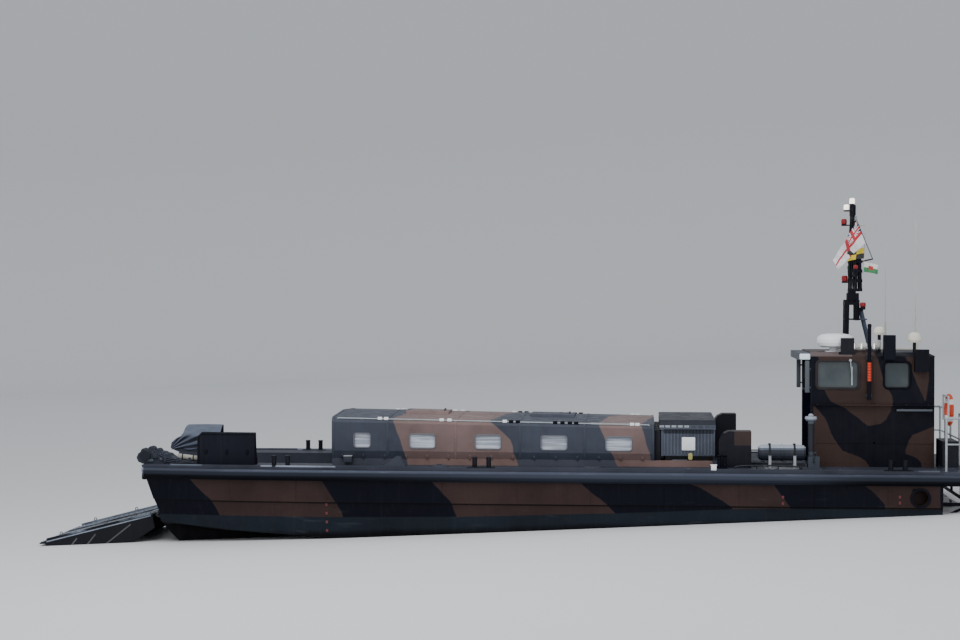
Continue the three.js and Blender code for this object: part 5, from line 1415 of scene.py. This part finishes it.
weldValues = {"places": (-7.6, -6.33, -5.04, -3.66, -2.25, -0.85, 0.53, 1.9, 3.28, 4.65, 6.0), "radius": 0.007,
              "low": 1.05, "high": 1.46}


def plateWelds(v):
    # an upright bead on each side at every plate joint, from the knuckle to the rub rail
    z, made = np.linspace(v["low"], v["high"], 6), []
    for x in v["places"]:
        knuckle, deck = (np.interp(x, topsideTable[:, 0], topsideTable[:, k]) for k in (3, 4))
        path = np.stack([0 * z + x, -knuckle - (deck - knuckle) * (z - 1.04) / 0.66, z], 1)
        made.append(tube(path, v["radius"], (1, 0, 0), 6))
    return mirrored(*made)


piece("plateWelds", plateWelds(weldValues), "hullPaint")
print("hull trimmed")


# ramp fittings, in the lowered leaf's own lengths: x back from the hinge, z up from its plate
def onRamp(*surfaces):
    return [leaned(surface, -rampPlace["drop"], (rampPlace["x"], 0, rampPlace["z"])) for surface in surfaces]


rampTrim = {"treads": (-2.24, -0.16, 0.105), "treadY": -0.65, "kerb": -1.17, "eyes": (-1.95, -1.05, -0.42),
            "straps": (-0.72, 0, 0.72),
            "braces": (((-0.55, -0.05), (-1.16, -0.32)), ((-1.28, -0.07), (-1.50, -0.235)),
                       ((-1.66, -0.06), (-1.80, -0.165)))}


def rampTreads(v):
    # a bar across each treadway at even steps, and a row of bolts down each side of it
    xs, y = np.arange(*v["treads"]), v["treadY"]
    bars = repeated(slab((0, y, 0.053), (0.022, 0.57, 0.010), 0.002), [(x, 0, 0) for x in xs])
    bolts = [(x + 0.05, y + across, 0.048) for x in xs[::2] for across in (-0.25, 0.25)]
    return onRamp(*mirrored(bars, studs(bolts, 0.009, 0.006, "z", 1)))


def rampStrips(v):
    # worn strips on the kerbs and along the toe, hinge straps, and flat bars on the side girders
    kerb = swept([(-2.25, v["kerb"], 0.081), (-0.13, v["kerb"], 0.081)], softBox(0.05, 0.006, 0.002, 1))
    girder = swept([(-2.27, -1.2015, 0.018), (-0.12, -1.2015, 0.018)], softBox(0.004, 0.022, 0.001, 1))
    strap = slab((-0.24, 0, 0.041), (0.26, 0.11, 0.012), 0.003)
    return onRamp(slab((-2.375, 0, 0.0345), (0.075, 2.36, 0.006), 0.002),
                  repeated(strap, [(0, y, 0) for y in v["straps"]]), *mirrored(kerb, girder))


def rampBraces(v):
    # flat braces on the side girders, and an eye on its plate at each place along the kerbs
    flat = softBox(0.026, 0.005, 0.002, 1)[:, ::-1]
    braces = [swept([(x0, -1.2018, z0), (x1, -1.2018, z1)], flat) for (x0, z0), (x1, z1) in v["braces"]]
    eyes = eye((0, v["kerb"], 0.108), 0.026, 0.008), slab((0, v["kerb"], 0.083), (0.09, 0.045, 0.008), 0.002)
    return onRamp(*mirrored(*braces, *[repeated(part, [(x, 0, 0) for x in v["eyes"]]) for part in eyes]))


piece("rampTreadBars", rampTreads(rampTrim), "rampWornEdges", "ramp")
piece("rampWornStrips", rampStrips(rampTrim), "rampWornEdges", "ramp")
piece("rampBraces", rampBraces(rampTrim), "rampWornBraces", "ramp")
print("ramp fitted")


# inside the well and the wheelhouse
padValues = {"from": -4.27, "pitch": 1.17, "count": 5, "size": (1.13, 0.34, 0.045), "z": 1.2335, "y": 0.965,
             "crown": 0.014, "pinch": 0.02, "seams": (-0.36, 0.36)}
seatValues = {"y": 0.36, "seat": (5.85, 2.225), "seatSize": (0.49, 0.47, 0.085), "back": (6.087, 2.545),
              "backSize": (0.60, 0.45, 0.075), "pinch": 0.035, "seams": (-0.45, 0.45)}
sides = {"Port": -1, "Starboard": 1}

for side, way in sides.items():
    for k in range(padValues["count"]):
        middle = (padValues["from"] + padValues["pitch"] * (k + 0.5), way * padValues["y"], padValues["z"])
        pad = cushion(middle, padValues["size"], padValues["crown"], padValues["pinch"], padValues["seams"])
        piece(f"benchPad{side}{k + 1}", pad, "benchCushion", smooth=60)

plinth = piece("helmSeatPlinth", [slab((5.90, 0, 1.925), (0.50, 1.24, 0.449), 0.02)]
               + mirrored(slab((5.85, -0.36, 2.165), (0.44, 0.42, 0.035), 0.01),
                          slab((6.148, -0.36, 2.50), (0.03, 0.40, 0.70), 0.012, 0.05, "x")), "consolePlastic")
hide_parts("helm_seats")


def helmCushion(name, v, part, way, crown, axis):
    # a seat or a back, at its place on one side
    x, z = v[part]
    shape = cushion((x, way * v["y"], z), v[part + "Size"], crown, v["pinch"], v["seams"], axis)
    obj = piece(name, shape, "seatCover", smooth=60)
    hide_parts("helm_seats")


for side, way in sides.items():
    helmCushion("helmSeatBase" + side, seatValues, "seat", way, 0.02, "z")
    helmCushion("helmSeatBack" + side, seatValues, "back", way, -0.016, "x")

helmValues = {"hub": (5.235, -0.36, 2.66), "wheel": 0.17, "lean": 0.9, "levers": (0.02, 0.09, 0.26, 0.33),
              "spokes": ((0.10, 0, -0.13), (-0.05, 0.15, 0.065), (-0.05, -0.15, 0.065))}


def helmGear(v):
    # a wheel on its hub, two pairs of levers, and a grab rail along the console's edge
    hub = np.array(v["hub"])
    rim, _ = leaned((np.insert(circle(v["wheel"], 32), 2, 0, 1), None), v["lean"], hub)
    lever = (rod((5.16, 0, 2.60), (5.21, 0, 2.70), 0.009, 8),
             turned([(0, -0.02), (0.02, -0.012), (0.022, 0.01), (0, 0.022)], (5.215, 0, 2.715), "z", 14))
    rail = rounded([(5.26, -0.70, 2.44), (5.30, -0.70, 2.44), (5.30, 0.70, 2.44), (5.26, 0.70, 2.44)], 2)
    return ([tube(rim, 0.014, sides=8, closed=True), rod((5.16, -0.36, 2.60), (5.245, -0.36, 2.668), 0.022)]
            + [rod(hub, hub + spoke, 0.008, 8) for spoke in v["spokes"]]
            + [repeated(part, [(0, y, 0) for y in v["levers"]]) for part in lever] + [tube(rail, 0.013, sides=8)])


piece("helmGear", helmGear(helmValues), "darkFittings")
screenPlaces = [(4.95, y, 2.875) for y in (-0.5, 0, 0.5)]
screenShell = slab((0, 0, 0), (0.06, 0.34, 0.23), 0.012, axis="x"), rod((0, 0, -0.155), (0, 0, -0.095), 0.03)
piece("helmScreenShells", [repeated(part, screenPlaces) for part in screenShell], "consolePlastic")
screenFace = slab((0.031, 0, 0.005), (0.004, 0.29, 0.18), 0.001, 0.006, "x")
piece("helmScreens", repeated(screenFace, screenPlaces), "screenGlass")

engineValues = {"ys": (-0.48, 0.48), "covers": (3.45, 3.75, 4.05), "filters": (3.5, 3.65),
                "pulleys": ((0, 0.75, 0.10), (0.12, 1.02, 0.06), (-0.12, 1.05, 0.07))}


def engineParts(v):
    # covers, pipes along each side, filters, pulleys and a hose on each engine's block
    parts = [slab((x, 0, 1.49), (0.24, 0.30, 0.05), 0.012, 0.03) for x in v["covers"]]
    parts += [rod((3.35, 0.23, 1.33), (4.15, 0.23, 1.33), 0.035, 14),
              rod((3.35, -0.23, 1.30), (4.15, -0.23, 1.30), 0.045, 14)]
    parts += [rod((x, -0.32, 1.02), (x, -0.32, 0.80), 0.05, 16) for x in v["filters"]]
    parts += [rod((3.215, y, z), (3.185, y, z), r, 24) for y, z, r in v["pulleys"]]
    hose = rounded([(3.30, 0, 1.50), (3.22, 0, 1.52), (3.20, 0.1, 1.40), (3.21, 0.15, 1.22)], 2)
    return [repeated(part, [(0, y, 0) for y in v["ys"]]) for part in parts + [tube(hose, 0.03, (0, 1, 0))]]


piece("engineParts", engineParts(engineValues), "enginePaint")

ribValues = {"places": (-3.25, -2.0, -0.8, 0.45), "lift": -0.055, "foot": 1.86, "off": 0.014}


def canopyRibs(v):
    # each rib follows the shell inside, and stands off the panes down both sides
    made = []
    for x in v["places"]:
        path = archAt(x, v["lift"], v["foot"])
        path[:3, 1] += v["off"]
        path[-3:, 1] -= v["off"]
        made.append(swept(path, softBox(0.03, 0.035, 0.006, 2), (1, 0, 0)))
    return made


piece("canopyRibs", canopyRibs(ribValues), "coamingPaint")
hatchGrip = rounded([(4.44, -0.58, 1.76), (4.44, -0.58, 1.81), (4.44, -0.42, 1.81), (4.44, -0.42, 1.76)], 2)
piece("engineHatchHandles", mirrored(tube(hatchGrip, 0.009, (1, 0, 0), 8),
                                     slab((3.12, -0.55, 1.764), (0.09, 0.14, 0.01), 0.003)),
      "darkFittings", "engine_hatch")
print("inside fitted")


# stern and underside
sternValues = {"jet": (7.045, -0.65, 0.78), "ring": 0.262, "bolts": 14, "anodes": (-1.0, 2.0, 5.0),
               "anode": (0, -1.5, 0.282), "anodeSize": (0.30, 0.09, 0.03)}
lampValues = {"places": (5.56, 5.69, 5.93), "front": (-0.056, -0.88, 3.985), "back": (-0.048, -0.88, 3.985),
              "radius": 0.05}


def sternFittings(v):
    # bolts round each jet's transom ring, and anodes under the chines
    bolts = studs(np.insert(circle(v["ring"], v["bolts"]), 0, 0, 1) + v["jet"], 0.012, 0.012, "x", 1)
    return mirrored(bolts, repeated(slab(v["anode"], v["anodeSize"], 0.008), [(x, 0, 0) for x in v["anodes"]]))


def roofLampLenses(v):
    # a round glass on the front of each lamp along the bar
    return repeated(rod(v["front"], v["back"], v["radius"], 20), [(x, 0, 0) for x in v["places"]])


piece("sternFittings", sternFittings(sternValues), "marineAlloy")
piece("roofLampLenses", roofLampLenses(lampValues), "litLens")
print("stern fitted")


# floor, light and camera
stageSetup = {"waterAtBow": 0.19, "bowX": -7.2, "risePerMetre": 0.051, "halfLength": 120.0, "near": -120.0,
              "far": 75.0, "bend": 16.0, "wall": 60.0, "skyTint": (0.86, 0.9, 0.96, 1), "skyStrength": 0.9}
# each lamp: place, aim, size and power
lamps = {"softTop": ((-6, -12, 18), (0, 0, 1), 14.0, 2600.0), "softFill": ((14, -22, 8), (1, 0, 1.5), 12, 900)}
cameraSetup = {"place": (1.5, -37.45, 5.05), "turn": 4.9, "dip": 0.905, "lens": 71.25, "sensor": 36, "reach": 400}


def stageFloor(s):
    # level across, then a quarter circle up into a wall behind; all of it leans with the
    # waterline, z = height at the bow + rise per metre * distance aft of it
    t = np.linspace(0, np.pi / 2, 25)
    y = np.concatenate([[s["near"]], s["far"] + s["bend"] * np.sin(t), [s["far"] + s["bend"]]])
    z = np.concatenate([[0], s["bend"] * (1 - np.cos(t)), [s["wall"]]])
    x = np.linspace(-s["halfLength"], s["halfLength"], 3)[:, None]
    lean = s["waterAtBow"] + s["risePerMetre"] * (x - s["bowX"])
    surface = grid(np.stack([x + 0 * y, y + 0 * x, z + lean], -1))
    newObject("paleFloor", *surface, Nodes("paleFloor").finish((214, 214, 214), 0.9, specular=0.2))


def areaLight(name, place, aim, size, power):
    # the lamp's own -z is turned to point from its place to the aim
    lamp = bpy.data.lights.new(name, "AREA")
    lamp.shape, lamp.size, lamp.energy = "DISK", size, power
    obj = bpy.data.objects.new(name, lamp)
    bpy.context.scene.collection.objects.link(obj)
    away = np.asarray(place, float) - np.asarray(aim, float)
    obj.location = place
    obj.rotation_euler = (math.atan2(math.hypot(away[0], away[1]), away[2]), 0, math.atan2(away[0], -away[1]))


stageFloor(stageSetup)
for name, settings in lamps.items():
    areaLight(name, *settings)
world = bpy.data.worlds.new("studio")
world.use_nodes = True
sky = world.node_tree.nodes["Background"].inputs
sky[0].default_value, sky[1].default_value = stageSetup["skyTint"], stageSetup["skyStrength"]
bpy.context.scene.world = world

camera = bpy.data.cameras.new("camera")
camera.lens, camera.sensor_width, camera.clip_end = (cameraSetup[key] for key in ("lens", "sensor", "reach"))
viewer = bpy.data.objects.new("camera", camera)
viewer.location = cameraSetup["place"]
viewer.rotation_euler = (math.radians(90 - cameraSetup["dip"]), 0, math.radians(cameraSetup["turn"]))
bpy.context.scene.collection.objects.link(viewer)
bpy.context.scene.camera = viewer
print("stage set")
